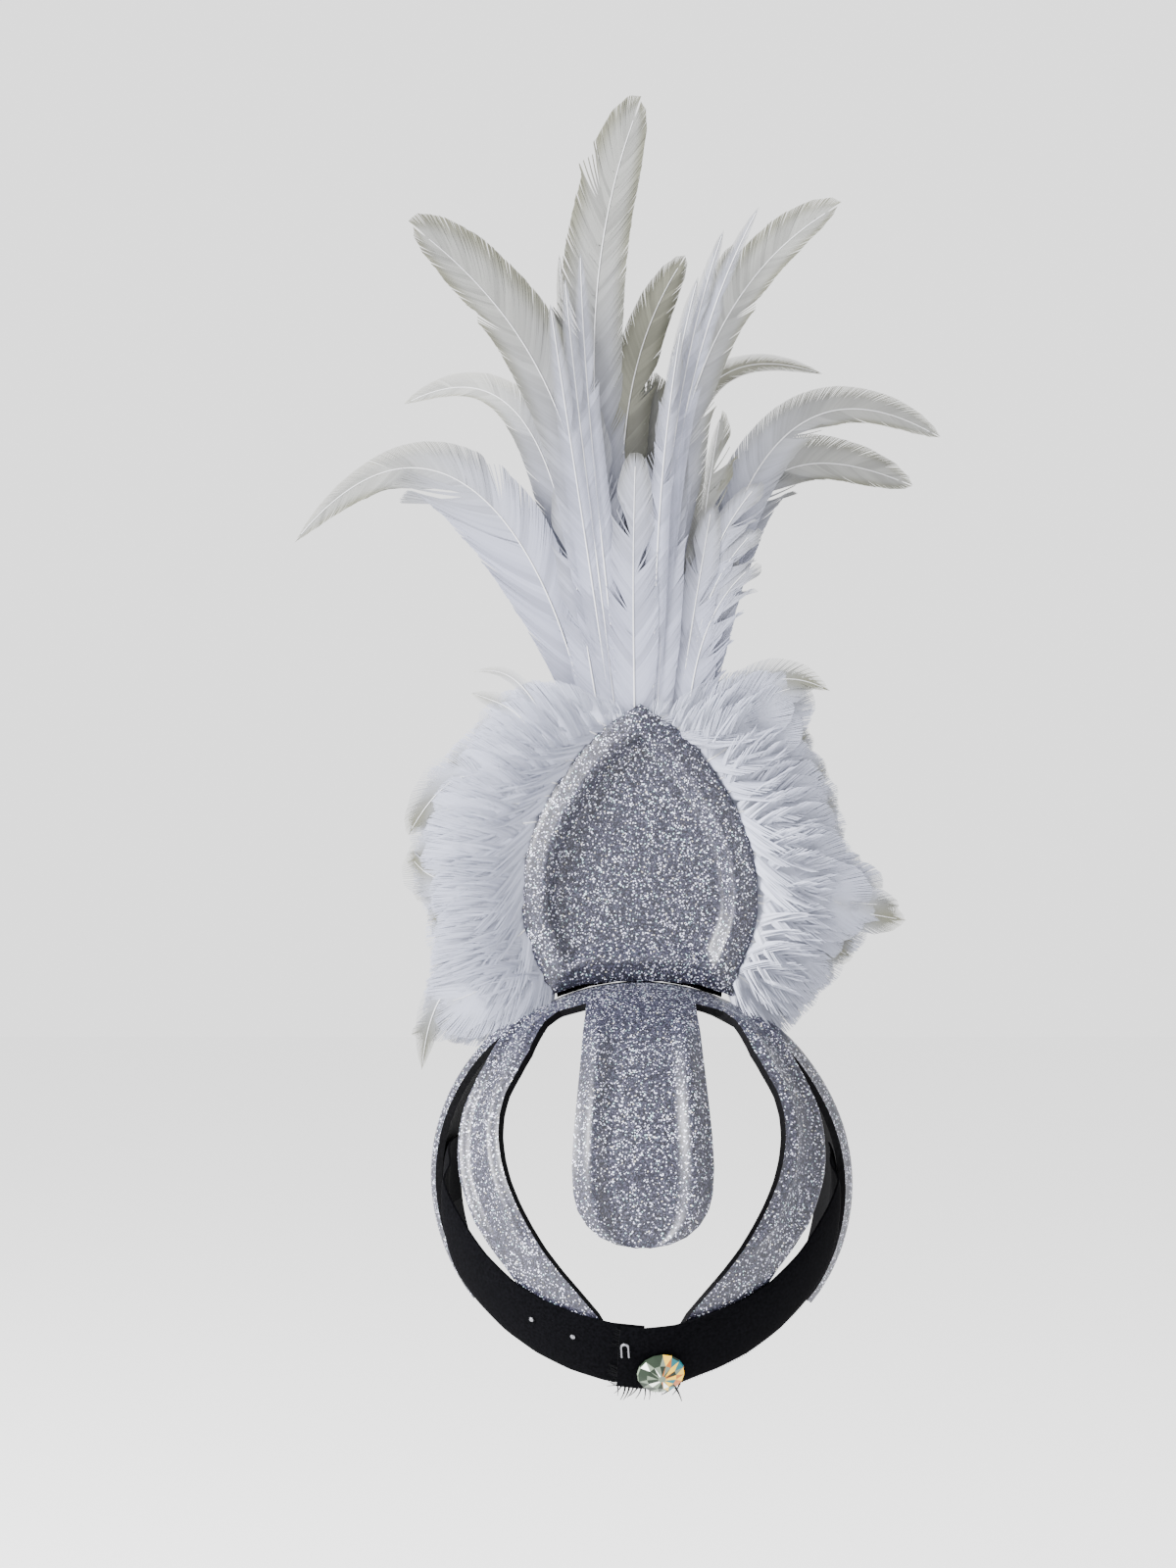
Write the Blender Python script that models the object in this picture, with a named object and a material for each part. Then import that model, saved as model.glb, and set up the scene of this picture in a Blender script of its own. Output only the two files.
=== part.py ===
"""Showgirl feather headdress: a glitter-faced foam cap frame with a crest plate,
tall cock feathers, a fluffy ruff and a velvet strap closed by a crystal button.

Metres, +Z up. The origin is the inside of the crown, where it sits on the head.
The side with the strap's closure faces -Y.
"""

import math

import bmesh
import bpy
from mathutils import Vector

# Head hollow: half width, half depth and the drop from the crown to the widest line
HEAD_HALF_WIDTH = 0.0845
HEAD_HALF_DEPTH = 0.0940
HEAD_DROP = 0.0825
# How much the form draws in below its widest line, across and front to back
DRAW_IN_ACROSS_SHARE = 0.50
DRAW_IN_DEPTH_SHARE = 0.36

# Cap frame
FOAM = 0.0030
RELIEF = 0.0018
TONGUE_HALF_WIDTH = 0.0284
BAND_DEPTH = 0.0385
SWING_LEFT_DEGREES = 14.0
SWING_RIGHT_DEGREES = 0.0
# Degrees down over which the bands swing back and the relief grows, and over which it fades
SWING_RUN_DEGREES = 20.0
RELIEF_FROM_DEGREES = 24.0
RELIEF_RUN_DEGREES = 22.0
ARM_FADE_DEGREES = 96.0
FADE_RUN_DEGREES = 10.0

# Crest plate and the panel behind the feather roots
PLATE_HALF_WIDTH = 0.0500
PLATE_HEIGHT = 0.1240
PLATE_FOAM = 0.0030
PLATE_RIDGE_INSET = 0.0115
PLATE_RELIEF = 0.0024
PLATE_BACK = -0.0020
BACKING_INSET = 0.0070
BACKING_THICKNESS = 0.0025
BACKING_SEAT = 0.0006

# Feathers
PLUME_ROOT_HEIGHT = 0.0700
PLUME_LENGTH = 0.3080
PLUME_PITCH = 0.0020
SHAFT_FRONT = 0.0008
SHAFT_BACK = 0.0005
BLADE_EDGE = 0.00025
SHAFT_TAPER_SHARE = 0.6
LAYERS = 6
FRONT_LAYERS = 3

# Ruff
RUFF_SPREAD = 0.1100
RUFF_STRIP_INSET = 0.0060
RUFF_THICKNESS = 0.0036
RUFF_FLUFF = 0.0060
LOCK_TIP = 0.0012

# Strap and its closure
STRAP_WIDTH = 0.0290
STRAP_THICKNESS = 0.0016
STRAP_SEAT = 0.0008
LAP_LEFT_DEGREES = 0.0
LAP_RIGHT_DEGREES = -8.0
STRAP_ON_BAND_DEGREES = 14.0
BUTTON_RADIUS = 0.0097
BUTTON_HEIGHT = 0.0052
BUTTON_DEGREES = 6.0
BUTTON_DROP = 0.0048
EYE_HEIGHT = 0.0011
HOOK_AND_EYES_DROP = -0.0040
EYE_RADIUS = 0.0011
HOOK_WIRE = 0.0005
HOOK_LENGTH = 0.0065

CLEARANCE = 0.0003

# Rows down from the crown in degrees, with the half width as a share of the tongue's
TONGUE_ROWS = (
    # down, half
    (24.0, 0.80), (31.0, 0.82), (38.0, 0.85), (45.0, 0.87), (53.0, 0.90),
    (62.0, 0.94), (71.0, 0.98), (79.0, 1.00), (86.0, 0.98), (90.5, 0.92),
    (94.5, 0.79), (97.5, 0.61), (99.5, 0.37), (100.3, 0.13),
)
# Degrees down from the crown, and round from the middle of the closure side
ARM_ROWS = (
    # down, inner, outer
    (29.0, 54.0, 84.0), (34.0, 54.5, 79.5), (40.0, 50.5, 75.5), (46.0, 47.5, 70.5),
    (53.0, 47.0, 66.5), (60.0, 47.5, 65.0), (66.0, 46.5, 64.8), (72.0, 44.6, 63.2),
    (78.0, 42.0, 61.2), (84.0, 39.0, 58.8), (90.0, 35.5, 55.2), (96.0, 31.8, 51.6),
    (102.0, 28.0, 46.8), (108.0, 23.5, 41.4), (114.0, 18.6, 37.6), (120.0, 13.8, 33.0),
    (123.5, 12.0, 30.0),
)
BAND_ROWS = (
    # down, near, share of the whole width
    (29.0, 84.0, 1.00), (34.0, 79.5, 1.00), (40.0, 77.5, 1.00), (46.0, 75.8, 1.00),
    (53.0, 75.0, 1.00), (62.0, 75.5, 1.00), (71.0, 77.5, 1.00), (80.0, 79.5, 1.00),
    (89.0, 80.5, 0.98), (98.0, 81.5, 0.93), (107.0, 82.0, 0.84), (115.0, 82.5, 0.70),
    (121.0, 83.0, 0.52), (124.5, 83.0, 0.34),
)
CROWN_RINGS = (8.0, 16.0, 24.0)
SLIT_START = 34.0
ROOT_OUTER = 88.0

# Raised line and hollow across each strip: share of the width, share of the relief
TONGUE_PROFILE = ((0.0, 0.0), (0.15, 1.0), (0.27, -0.2), (0.5, -0.3),
                  (0.73, -0.2), (0.85, 1.0), (1.0, 0.0))
ARM_PROFILE = ((0.0, 0.0), (0.18, 0.7), (0.42, 0.0), (0.66, 0.1), (0.82, 1.0), (1.0, 0.0))
BAND_PROFILE = ((0.0, 0.0), (0.15, 0.8), (0.32, 0.0), (0.68, 0.0), (0.85, 0.8), (1.0, 0.0))

# Right half of the plate: half width as a share of its own, height as a share of the plate's
PLATE_SIDE = (
    # half, up
    (0.785, 0.000), (0.810, 0.038), (0.860, 0.100), (0.925, 0.168), (0.975, 0.231),
    (0.999, 0.294), (0.998, 0.355), (0.990, 0.420), (0.955, 0.500), (0.900, 0.570),
    (0.822, 0.640), (0.725, 0.710), (0.608, 0.780), (0.474, 0.850), (0.300, 0.920),
)
# Raised line and dish: share of the ridge's inset, share of the plate's relief
PLATE_PROFILE = ((0.0, 0.0), (1.0, 1.0), (1.5, -0.15), (2.4, -0.35))
PLATE_MIDDLE_SHARE = 0.42
# The slimmest mitre allowed where the outline turns sharply
MITRE_LIMIT = 0.55
# How far the foot arches above the corners, and where it starts to drop
PLATE_ARCH_SHARE = 0.05
PLATE_FOOT = ((0.0, 0.0), (0.22, 0.0), (0.50, 0.010))

# Tall feathers: sideways places and rises are shares of PLUME_LENGTH, leans in degrees
PLUMES = (
    # name, layer, root, root lean, tip side, tip rise, tip lean, bow, left, right, curl
    ("plume_upper_left", 0, -0.039, -5, -0.308, 0.812, -54, 0.40, 0.038, 0.052, -0.085),
    ("plume_lean_right", 0, 0.016, 3, 0.272, 0.845, 62, 0.35, 0.038, 0.028, -0.070),
    ("plume_top", 1, 0.000, -5, 0.000, 0.992, 22, 0.34, 0.050, 0.040, -0.030),
    ("plume_outer_right", 1, 0.042, 8, 0.114, 0.572, 11, 0.35, 0.026, 0.062, 0.010),
    ("plume_droop_left", 2, -0.052, -5, -0.489, 0.384, -142, 0.62, 0.078, 0.048, 0.040),
    ("plume_spike_2", 2, -0.016, -6, -0.112, 0.805, -3, 0.33, 0.016, 0.014, 0.020),
    ("plume_split_right", 2, 0.029, 4, 0.133, 0.810, 20, 0.35, 0.036, 0.034, 0.020),
    ("plume_spike_1", 3, -0.029, -6, -0.133, 0.740, -7, 0.33, 0.018, 0.016, 0.040),
    ("plume_curl_middle", 3, 0.0115, -3, 0.066, 0.797, 34, 0.34, 0.038, 0.036, 0.060),
    ("plume_arch_right", 3, 0.0405, 8, 0.432, 0.541, 120, 0.50, 0.040, 0.038, 0.085),
    ("plume_mid_left", 4, -0.0455, -9, -0.341, 0.590, -118, 0.44, 0.034, 0.038, 0.110),
    ("plume_middle", 4, -0.003, 0, 0.010, 0.612, 2, 0.33, 0.046, 0.046, 0.040),
    ("plume_low_right", 4, 0.055, 9, 0.392, 0.478, 112, 0.56, 0.048, 0.048, 0.110),
    ("plume_arch_thin", 5, 0.026, 6, 0.278, 0.637, 108, 0.48, 0.024, 0.022, 0.140),
)
PLUME_SHAPE = (
    # share along the feather, share of the full width
    (0.00, 0.14), (0.10, 0.18), (0.19, 0.46), (0.29, 0.76), (0.40, 0.93), (0.52, 1.00),
    (0.64, 1.00), (0.75, 0.96), (0.84, 0.85), (0.91, 0.68), (0.965, 0.42), (1.00, 0.10),
)

# A feather curls little near its root and most near its tip
CURL_POWER = 2.5
# Share of the shaft over which its direction is taken
LINE_STEP = 0.01

# Lock tips round the plate, foot to point: side is a share of RUFF_SPREAD, rise of the height
RUFF_LOCKS = {
    "ruff_right": (
        # side, rise, notch before the lock
        (0.545, -0.105, 0.00), (0.660, -0.035, 0.07), (0.730, 0.045, 0.07),
        (0.815, 0.140, 0.09), (0.996, 0.255, 0.06), (0.785, 0.365, 0.06),
        (0.765, 0.480, 0.06), (0.745, 0.600, 0.06), (0.705, 0.720, 0.06),
        (0.645, 0.835, 0.07), (0.560, 0.935, 0.10), (0.710, 1.045, 0.06),
        (0.500, 1.090, 0.09), (0.330, 1.090, 0.07),
    ),
    "ruff_left": (
        (0.560, -0.100, 0.00), (0.650, -0.115, 0.07), (0.870, -0.190, 0.06),
        (0.760, 0.010, 0.10), (0.760, 0.120, 0.07), (0.800, 0.205, 0.06),
        (0.860, 0.300, 0.07), (0.890, 0.415, 0.07), (0.885, 0.560, 0.12),
        (0.810, 0.660, 0.07), (0.725, 0.755, 0.07), (0.620, 0.850, 0.07),
        (0.540, 0.950, 0.07), (0.600, 1.085, 0.10), (0.360, 1.090, 0.07),
    ),
}
RUFF_RINGS = (0.0, 0.22, 0.48, 0.76, 1.0)
# Where a lock begins to swell, over what share of it, how it thins and how full a notch is
SWELL_FROM = 0.22
SWELL_RUN = 0.25
SWELL_POWER = 0.7
NOTCH_FULLNESS = 0.6

# Middle line of the strap: degrees round from the middle of the lap, degrees down
STRAP_ROWS = (
    (0.0, 130.6), (12.0, 129.6), (24.0, 127.2), (35.0, 123.6), (45.0, 118.6),
    (54.0, 111.6), (62.0, 103.8), (71.0, 96.2), (82.0, 90.5), (96.0, 87.5), (112.0, 87.0),
)
STRAP_LINES = (1.0, 0.5, 0.0, -0.5, -1.0)
# Degrees round at which the strap passes from the arms' outside to the bands' inside
DIVE_FROM_DEGREES = 66.0
DIVE_RUN_DEGREES = 12.0
STRAP_STEPS = 24
# Degrees round at which the upper half starts to rise over the lower one
LAP_FROM_DEGREES = 26.0
LAP_RUN_DEGREES = 20.0

# Closure: shares of the radius and the height, foot to top; degrees round from the lap's middle
BUTTON_SHAPE = ((0.86, 0.0), (1.0, 0.27), (0.97, 0.45), (0.60, 0.80), (0.16, 1.0))
BUTTON_SIDES = 16
EYE_SHAPE = ((1.0, 0.0), (1.0, 0.5), (0.5, 0.9))
EYE_SIDES = 8
EYES_DEGREES = (-35.0, -22.0)
HOOK_DEGREES = -5.5
HOOK_BEND_SHARE = 0.22
HOOK_BEND_STEPS = 6
WIRE_SIDES = 6

COLOURS = {
    # red, green, blue, roughness, metallic
    "glitter": (0.50, 0.50, 0.58, 0.35, 0.6),
    "black_foam": (0.015, 0.015, 0.017, 0.9, 0.0),
    "velvet": (0.008, 0.008, 0.010, 0.95, 0.0),
    "feather": (0.82, 0.82, 0.84, 0.7, 0.0),
    "steel": (0.62, 0.62, 0.64, 0.3, 1.0),
    "crystal": (0.80, 0.88, 0.80, 0.05, 0.0),
}


def clear_scene():
    for old in list(bpy.data.objects):
        bpy.data.objects.remove(old, do_unlink=True)


def finish_for(name):
    """The Principled material of one finish, made once."""
    made = bpy.data.materials.get(name)
    if made:
        return made
    red, green, blue, roughness, metallic = COLOURS[name]
    made = bpy.data.materials.new(name)
    made.use_nodes = True
    shader = made.node_tree.nodes["Principled BSDF"]
    shader.inputs["Base Color"].default_value = (red, green, blue, 1.0)
    shader.inputs["Roughness"].default_value = roughness
    shader.inputs["Metallic"].default_value = metallic
    return made


def add_object(name, points, faces, finish):
    """One closed body from points and faces, with its faces turned outwards."""
    mesh = bpy.data.meshes.new(name)
    shape = bmesh.new()
    verts = [shape.verts.new(point) for point in points]
    for face in faces:
        shape.faces.new([verts[index] for index in face])
    bmesh.ops.recalc_face_normals(shape, faces=shape.faces)
    bmesh.ops.triangulate(shape, faces=shape.faces)
    shape.to_mesh(mesh)
    shape.free()
    mesh.materials.append(finish_for(finish))
    made = bpy.data.objects.new(name, mesh)
    bpy.context.collection.objects.link(made)
    return made


def thick_sheet(name, front, back, faces, finish):
    """A sheet with a front and a back point for each place, walled along its edges."""
    count = len(front)
    uses = {}
    for face in faces:
        for start, end in zip(face, face[1:] + face[:1]):
            uses.setdefault(frozenset((start, end)), []).append((start, end))
    walls = []
    for sides in uses.values():
        if len(sides) == 1:
            start, end = sides[0]
            walls.append([end, start, start + count, end + count])
    backs = [[index + count for index in reversed(face)] for face in faces]
    return add_object(name, front + back, faces + backs + walls, finish)


def between(rows, at, column=1):
    """The value of a table's column where its first column is at."""
    for low, high in zip(rows, rows[1:]):
        if at <= high[0]:
            share = (at - low[0]) / (high[0] - low[0])
            return low[column] + (high[column] - low[column]) * share
    return rows[-1][column]


def ease(share):
    share = min(max(share, 0.0), 1.0)
    return share * share * (3.0 - 2.0 * share)


# Head form

def head_form(around, down):
    """A point of the hollow: degrees round from -Y towards +X, degrees down from the crown."""
    turn, drop = math.radians(around), math.radians(down)
    if down <= 90.0:
        across = depth = math.sin(drop)
        height = HEAD_DROP * (math.cos(drop) - 1.0)
    else:
        past = drop - math.pi / 2
        across = 1.0 - DRAW_IN_ACROSS_SHARE * past ** 2
        depth = 1.0 - DRAW_IN_DEPTH_SHARE * past ** 2
        height = -HEAD_DROP * (1.0 + past)
    return Vector((HEAD_HALF_WIDTH * across * math.sin(turn),
                   -HEAD_HALF_DEPTH * depth * math.cos(turn), height))


def head_normal(around, down):
    if down == 0.0:
        return Vector((0.0, 0.0, 1.0))
    step = 0.01
    along = head_form(around + step, down) - head_form(around - step, down)
    below = head_form(around, down + step) - head_form(around, down - step)
    return below.cross(along).normalized()


def on_head(around, down, out):
    return head_form(around, down) + head_normal(around, down) * out


def crown_top(across, depth):
    """Height of the frame's outer face over a place near the crown."""
    wide, deep = HEAD_HALF_WIDTH + FOAM, HEAD_HALF_DEPTH + FOAM
    left = 1.0 - (across / wide) ** 2 - (depth / deep) ** 2
    return (HEAD_DROP + FOAM) * math.sqrt(left) - HEAD_DROP


# Cap frame

def angle_of_width(half, down):
    """Degrees round at which a half width lies on the frame, that far down."""
    ring = (HEAD_HALF_WIDTH + FOAM) * math.sin(math.radians(down))
    return math.degrees(math.asin(min(half / ring, 1.0)))


def tongue_edge(down):
    return angle_of_width(TONGUE_HALF_WIDTH * between(TONGUE_ROWS, down), down)


def band_far(down):
    """Degrees round of the band's hidden edge, at its depth behind the widest line."""
    ring = HEAD_HALF_DEPTH * math.sin(math.radians(down))
    return 90.0 + math.degrees(math.asin(min(BAND_DEPTH / ring, 1.0)))


class FrameSheet:
    """Collects the frame's places, shared where two strips meet, and its faces."""

    def __init__(self):
        self.places = {}
        self.front = []
        self.back = []
        self.faces = []

    def place(self, around, down, raised):
        key = (round(down, 3), round(around % 360.0, 3) if down else 0.0)
        if key not in self.places:
            self.places[key] = len(self.front)
            self.front.append(on_head(around, down, FOAM + raised))
            self.back.append(on_head(around, down, 0.0))
        return self.places[key]

    def strip(self, rows, profile):
        """Rows of (down, from, to, share of relief), crossed by the profile's columns."""
        lines = []
        for down, start, end, relief in rows:
            lines.append([self.place(start * (1.0 - share) + end * share, down,
                                     RELIEF * height * relief)
                          for share, height in profile])
        for upper, lower in zip(lines, lines[1:]):
            for left in range(len(profile) - 1):
                face = [upper[left], upper[left + 1], lower[left + 1], lower[left]]
                face = [spot for n, spot in enumerate(face) if spot not in face[:n]]
                if len(face) > 2:
                    self.faces.append(face)


def relief_share(down, fade_from=None):
    """Relief grows out of the crown and, on the arms, dies away under the strap."""
    grown = ease((down - RELIEF_FROM_DEGREES) / RELIEF_RUN_DEGREES)
    if fade_from is None:
        return grown
    return grown * (1.0 - ease((down - fade_from) / FADE_RUN_DEGREES))


def make_frame():
    sheet = FrameSheet()
    root = tongue_edge(CROWN_RINGS[-1])
    rings = (0.0,) + CROWN_RINGS
    sheet.strip([(down, -root, root, 0.0) for down in rings], TONGUE_PROFILE)
    sheet.strip([(down, -tongue_edge(down), tongue_edge(down), relief_share(down))
                 for down, half in TONGUE_ROWS], TONGUE_PROFILE)
    for side, swing in ((-1.0, SWING_LEFT_DEGREES), (1.0, SWING_RIGHT_DEGREES)):
        crown_arm = [(down, side * root, side * ROOT_OUTER, 0.0) for down in rings]
        sheet.strip(crown_arm, ARM_PROFILE)
        arm = [(down, side * inner, side * outer, relief_share(down, ARM_FADE_DEGREES))
               for down, inner, outer in ARM_ROWS]
        sheet.strip(crown_arm[-1:] + arm, ARM_PROFILE)
        crown_band = [(down, side * ROOT_OUTER, side * 180.0, 0.0) for down in rings]
        sheet.strip(crown_band, BAND_PROFILE)
        band = []
        for down, near, share in BAND_ROWS:
            moved = near + swing * ease((down - SLIT_START) / SWING_RUN_DEGREES)
            far = band_far(down)
            spare = (far - moved) * (1.0 - share) / 2.0
            band.append((down, side * (moved + spare), side * (far - spare),
                         relief_share(down)))
        sheet.strip(crown_band[-1:] + band, BAND_PROFILE)
    return thick_sheet("crown_frame", sheet.front, sheet.back, sheet.faces, "glitter")


# Crest plate

def plate_foot():
    """Height of the plate's foot in the middle, where it stands on the crown."""
    return crown_top(0.0, PLATE_BACK) + CLEARANCE


def plate_side():
    """The right half of the outline, from the foot's middle up to the point."""
    foot = plate_foot()
    corner = foot - PLATE_ARCH_SHARE * PLATE_HEIGHT
    points = [(side, foot - drop * PLATE_HEIGHT) for side, drop in PLATE_FOOT]
    points += [(side, corner + up * PLATE_HEIGHT) for side, up in PLATE_SIDE]
    points.append((0.0, corner + PLATE_HEIGHT))
    return [(side * PLATE_HALF_WIDTH, height) for side, height in points]


def plate_outline():
    right = plate_side()
    left = [(-across, height) for across, height in reversed(right[1:-1])]
    return right + left


def plate_middle():
    return Vector((0.0, plate_foot() + PLATE_MIDDLE_SHARE * PLATE_HEIGHT))


def inset_outline(outline, inset):
    """The outline drawn in towards the plate's middle, with its corners mitred."""
    middle = plate_middle()
    moved = []
    count = len(outline)
    for index in range(count):
        here = Vector(outline[index])
        before = (here - Vector(outline[index - 1])).normalized()
        after = (Vector(outline[(index + 1) % count]) - here).normalized()
        inward = Vector((-before.y - after.y, before.x + after.x)).normalized()
        ray = (middle - here).normalized()
        slant = inward.dot(Vector((-before.y, before.x))) * inward.dot(ray)
        moved.append(tuple(here + ray * (inset / max(slant, MITRE_LIMIT))))
    return moved


def ringed_panel(name, rings, centre, finish):
    """A panel of nested outlines, each a list of (across, height, front, back)."""
    front, back, faces = [], [], []
    for ring in rings:
        for across, height, near, far in ring:
            front.append(Vector((across, near, height)))
            back.append(Vector((across, far, height)))
    count = len(rings[0])
    for level in range(len(rings) - 1):
        for index in range(count):
            after = (index + 1) % count
            low, high = level * count, (level + 1) * count
            faces.append([low + index, low + after, high + after, high + index])
    across, height, near, far = centre
    front.append(Vector((across, near, height)))
    back.append(Vector((across, far, height)))
    last = (len(rings) - 1) * count
    for index in range(count):
        faces.append([last + index, last + (index + 1) % count, len(front) - 1])
    return thick_sheet(name, front, back, faces, finish)


def make_plate():
    outline = plate_outline()
    face = PLATE_BACK - PLATE_FOAM
    rings = []
    for inset, height in PLATE_PROFILE:
        ring = inset_outline(outline, inset * PLATE_RIDGE_INSET)
        rings.append([(across, up, face - height * PLATE_RELIEF, PLATE_BACK)
                      for across, up in ring])
    centre = (0.0, plate_middle().y, face, PLATE_BACK)
    return ringed_panel("crest_plate", rings, centre, "glitter")


def layer_place(layer):
    """How far back a layer of feathers lies behind the plate."""
    first = PLATE_BACK + CLEARANCE + RUFF_THICKNESS + CLEARANCE + SHAFT_FRONT
    return first + layer * PLUME_PITCH


def make_backing():
    front = layer_place(LAYERS - 1) + SHAFT_BACK + CLEARANCE
    back = front + BACKING_THICKNESS
    ring = []
    for across, up in inset_outline(plate_outline(), BACKING_INSET):
        if up < plate_foot() + BACKING_INSET + CLEARANCE:
            up = crown_top(across, front) + BACKING_SEAT
        ring.append((across, up, front, back))
    centre = (0.0, plate_middle().y, front, back)
    return ringed_panel("crest_backing", [ring], centre, "black_foam")


# Feathers

def bezier(points, share):
    rest = 1.0 - share
    weights = (rest ** 3, 3 * rest ** 2 * share, 3 * rest * share ** 2, share ** 3)
    return sum((point * weight for point, weight in zip(points, weights)), Vector((0.0, 0.0)))


def plume_line(root, root_lean, tip_side, tip_rise, tip_lean, bow):
    """The shaft's four control points in the plane of the fan."""
    start = Vector((root * PLUME_LENGTH, PLUME_ROOT_HEIGHT))
    end = Vector((tip_side * PLUME_LENGTH, PLUME_ROOT_HEIGHT + tip_rise * PLUME_LENGTH))
    reach = (end - start).length * bow
    lean, finish = math.radians(root_lean), math.radians(tip_lean)
    first = start + Vector((math.sin(lean), math.cos(lean))) * reach
    second = end - Vector((math.sin(finish), math.cos(finish))) * reach
    return start, first, second, end


def quill_seat(layer):
    """The quill's end lies against the plate in the front layers, else on the backing."""
    if layer < FRONT_LAYERS:
        return PLATE_BACK + CLEARANCE + SHAFT_FRONT
    return layer_place(LAYERS - 1)


def make_plume(name, layer, root, root_lean, tip_side, tip_rise, tip_lean, bow,
               left, right, curl):
    """One cock feather: a thin lens section carried along its shaft."""
    line = plume_line(root, root_lean, tip_side, tip_rise, tip_lean, bow)
    points, faces = [], []
    for share, width in PLUME_SHAPE:
        here = bezier(line, share)
        ahead = bezier(line, min(share + LINE_STEP, 1.0))
        along = (ahead - bezier(line, max(share - LINE_STEP, 0.0))).normalized()
        side = Vector((along.y, -along.x))
        depth = layer_place(layer) + curl * PLUME_LENGTH * share ** CURL_POWER
        if share == 0.0:
            depth = quill_seat(layer)
        slim = 1.0 - SHAFT_TAPER_SHARE * share
        for reach, lift in ((-left, -BLADE_EDGE), (0.0, -SHAFT_FRONT * slim),
                            (right, -BLADE_EDGE), (right, 0.0),
                            (0.0, SHAFT_BACK * slim), (-left, 0.0)):
            spot = here + side * (reach * width * PLUME_LENGTH)
            points.append(Vector((spot.x, depth + lift, spot.y)))
    count = 6
    for row in range(len(PLUME_SHAPE) - 1):
        for index in range(count):
            after = (index + 1) % count
            low, high = row * count, (row + 1) * count
            faces.append([low + index, low + after, high + after, high + index])
    faces.append(list(range(count)))
    faces.append([len(points) - 1 - index for index in range(count)])
    return add_object(name, points, faces, "feather")


# Ruff

def along_line(points, share):
    """A place on a line of points, at a share of its length."""
    lengths = [(Vector(b) - Vector(a)).length for a, b in zip(points, points[1:])]
    left = share * sum(lengths)
    for (a, b), length in zip(zip(points, points[1:]), lengths):
        if left <= length:
            return Vector(a).lerp(Vector(b), left / length)
        left -= length
    return Vector(points[-1])


def ruff_spokes(side, locks):
    """Root and tip of each lock and of each notch between two locks."""
    inner = inset_outline(plate_outline(), RUFF_STRIP_INSET)
    edge = inner[3:len(plate_side())]
    edge = [(side * across, height) for across, height in edge]
    foot = plate_foot()
    spokes = []
    count = len(locks)
    before = None
    for index, (out, rise, notch) in enumerate(locks):
        root = along_line(edge, (index + 0.5) / count)
        tip = Vector((side * out * RUFF_SPREAD, foot + rise * PLATE_HEIGHT))
        if before:
            between_root = along_line(edge, index / count)
            shorter = min((tip - root).length, (before[1] - before[0]).length)
            middle = (tip + before[1]) / 2.0 - between_root
            reach = min(middle.length, shorter) * (1.0 - notch)
            spokes.append((between_root, between_root + middle.normalized() * reach,
                           NOTCH_FULLNESS))
        spokes.append((root, tip, 1.0))
        before = (root, tip)
    return spokes


def make_ruff(name, side, locks):
    """Locks fanned from a head strip that lies behind the plate's edge."""
    near = PLATE_BACK + CLEARANCE
    front, back, faces = [], [], []
    spokes = ruff_spokes(side, locks)
    for root, tip, body in spokes:
        for ring in RUFF_RINGS:
            spot = root.lerp(tip, ring)
            free = ease((ring - SWELL_FROM) / SWELL_RUN) * (1.0 - ring) ** SWELL_POWER
            thin = RUFF_THICKNESS + (LOCK_TIP - RUFF_THICKNESS) * ring
            front.append(Vector((spot.x, near - RUFF_FLUFF * free * body, spot.y)))
            back.append(Vector((spot.x, near + thin, spot.y)))
    rings = len(RUFF_RINGS)
    for index in range(len(spokes) - 1):
        for level in range(rings - 1):
            low, high = index * rings + level, (index + 1) * rings + level
            faces.append([low, low + 1, high + 1, high])
    return thick_sheet(name, front, back, faces, "feather")


# Strap and closure

def strap_down(around):
    return between(STRAP_ROWS, abs(around))


def strap_out(around, lap):
    """How far off the head the strap lies: over the arms and the lap, inside the bands."""
    rise = ease((LAP_FROM_DEGREES - around) / LAP_RUN_DEGREES) if lap else 0.0
    lifted = (STRAP_THICKNESS + CLEARANCE) * rise
    outside = FOAM + STRAP_SEAT + lifted
    inside = -STRAP_THICKNESS - STRAP_SEAT
    return outside + (inside - outside) * ease((abs(around) - DIVE_FROM_DEGREES) / DIVE_RUN_DEGREES)


def strap_edges(around, width):
    """Angles of the strap's upper and lower edge, square to its middle line."""
    step = 1.0
    down = strap_down(around)
    run = strap_down(around + step) - strap_down(around - step)
    per_round = (head_form(around + step, down) - head_form(around - step, down)).length / 2
    per_down = (head_form(around, down + step) - head_form(around, down - step)).length / 2
    along = Vector((2.0 * step * per_round, run * per_down)).normalized()
    half = width / 2.0
    shift = (along.y * half / per_round, -along.x * half / per_down)
    return [(around + shift[0] * share, down + shift[1] * share) for share in STRAP_LINES]


def make_strap(name, start, end, lap):
    lines = len(STRAP_LINES)
    front, back, faces = [], [], []
    for index in range(STRAP_STEPS + 1):
        around = start + (end - start) * index / STRAP_STEPS
        for turn, down in strap_edges(around, STRAP_WIDTH):
            out = strap_out(turn, lap)
            front.append(on_head(turn, down, out + STRAP_THICKNESS))
            back.append(on_head(turn, down, out))
    for index in range(STRAP_STEPS):
        for column in range(lines - 1):
            low, high = index * lines + column, (index + 1) * lines + column
            faces.append([low, low + 1, high + 1, high])
    return thick_sheet(name, front, back, faces, "velvet")


def seat_on_strap(around, drop, out):
    """A place on the strap's outer face and its normal; drop is below the middle line."""
    down = strap_down(around) + math.degrees(drop / HEAD_DROP)
    return on_head(around, down, out), head_normal(around, down)


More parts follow.
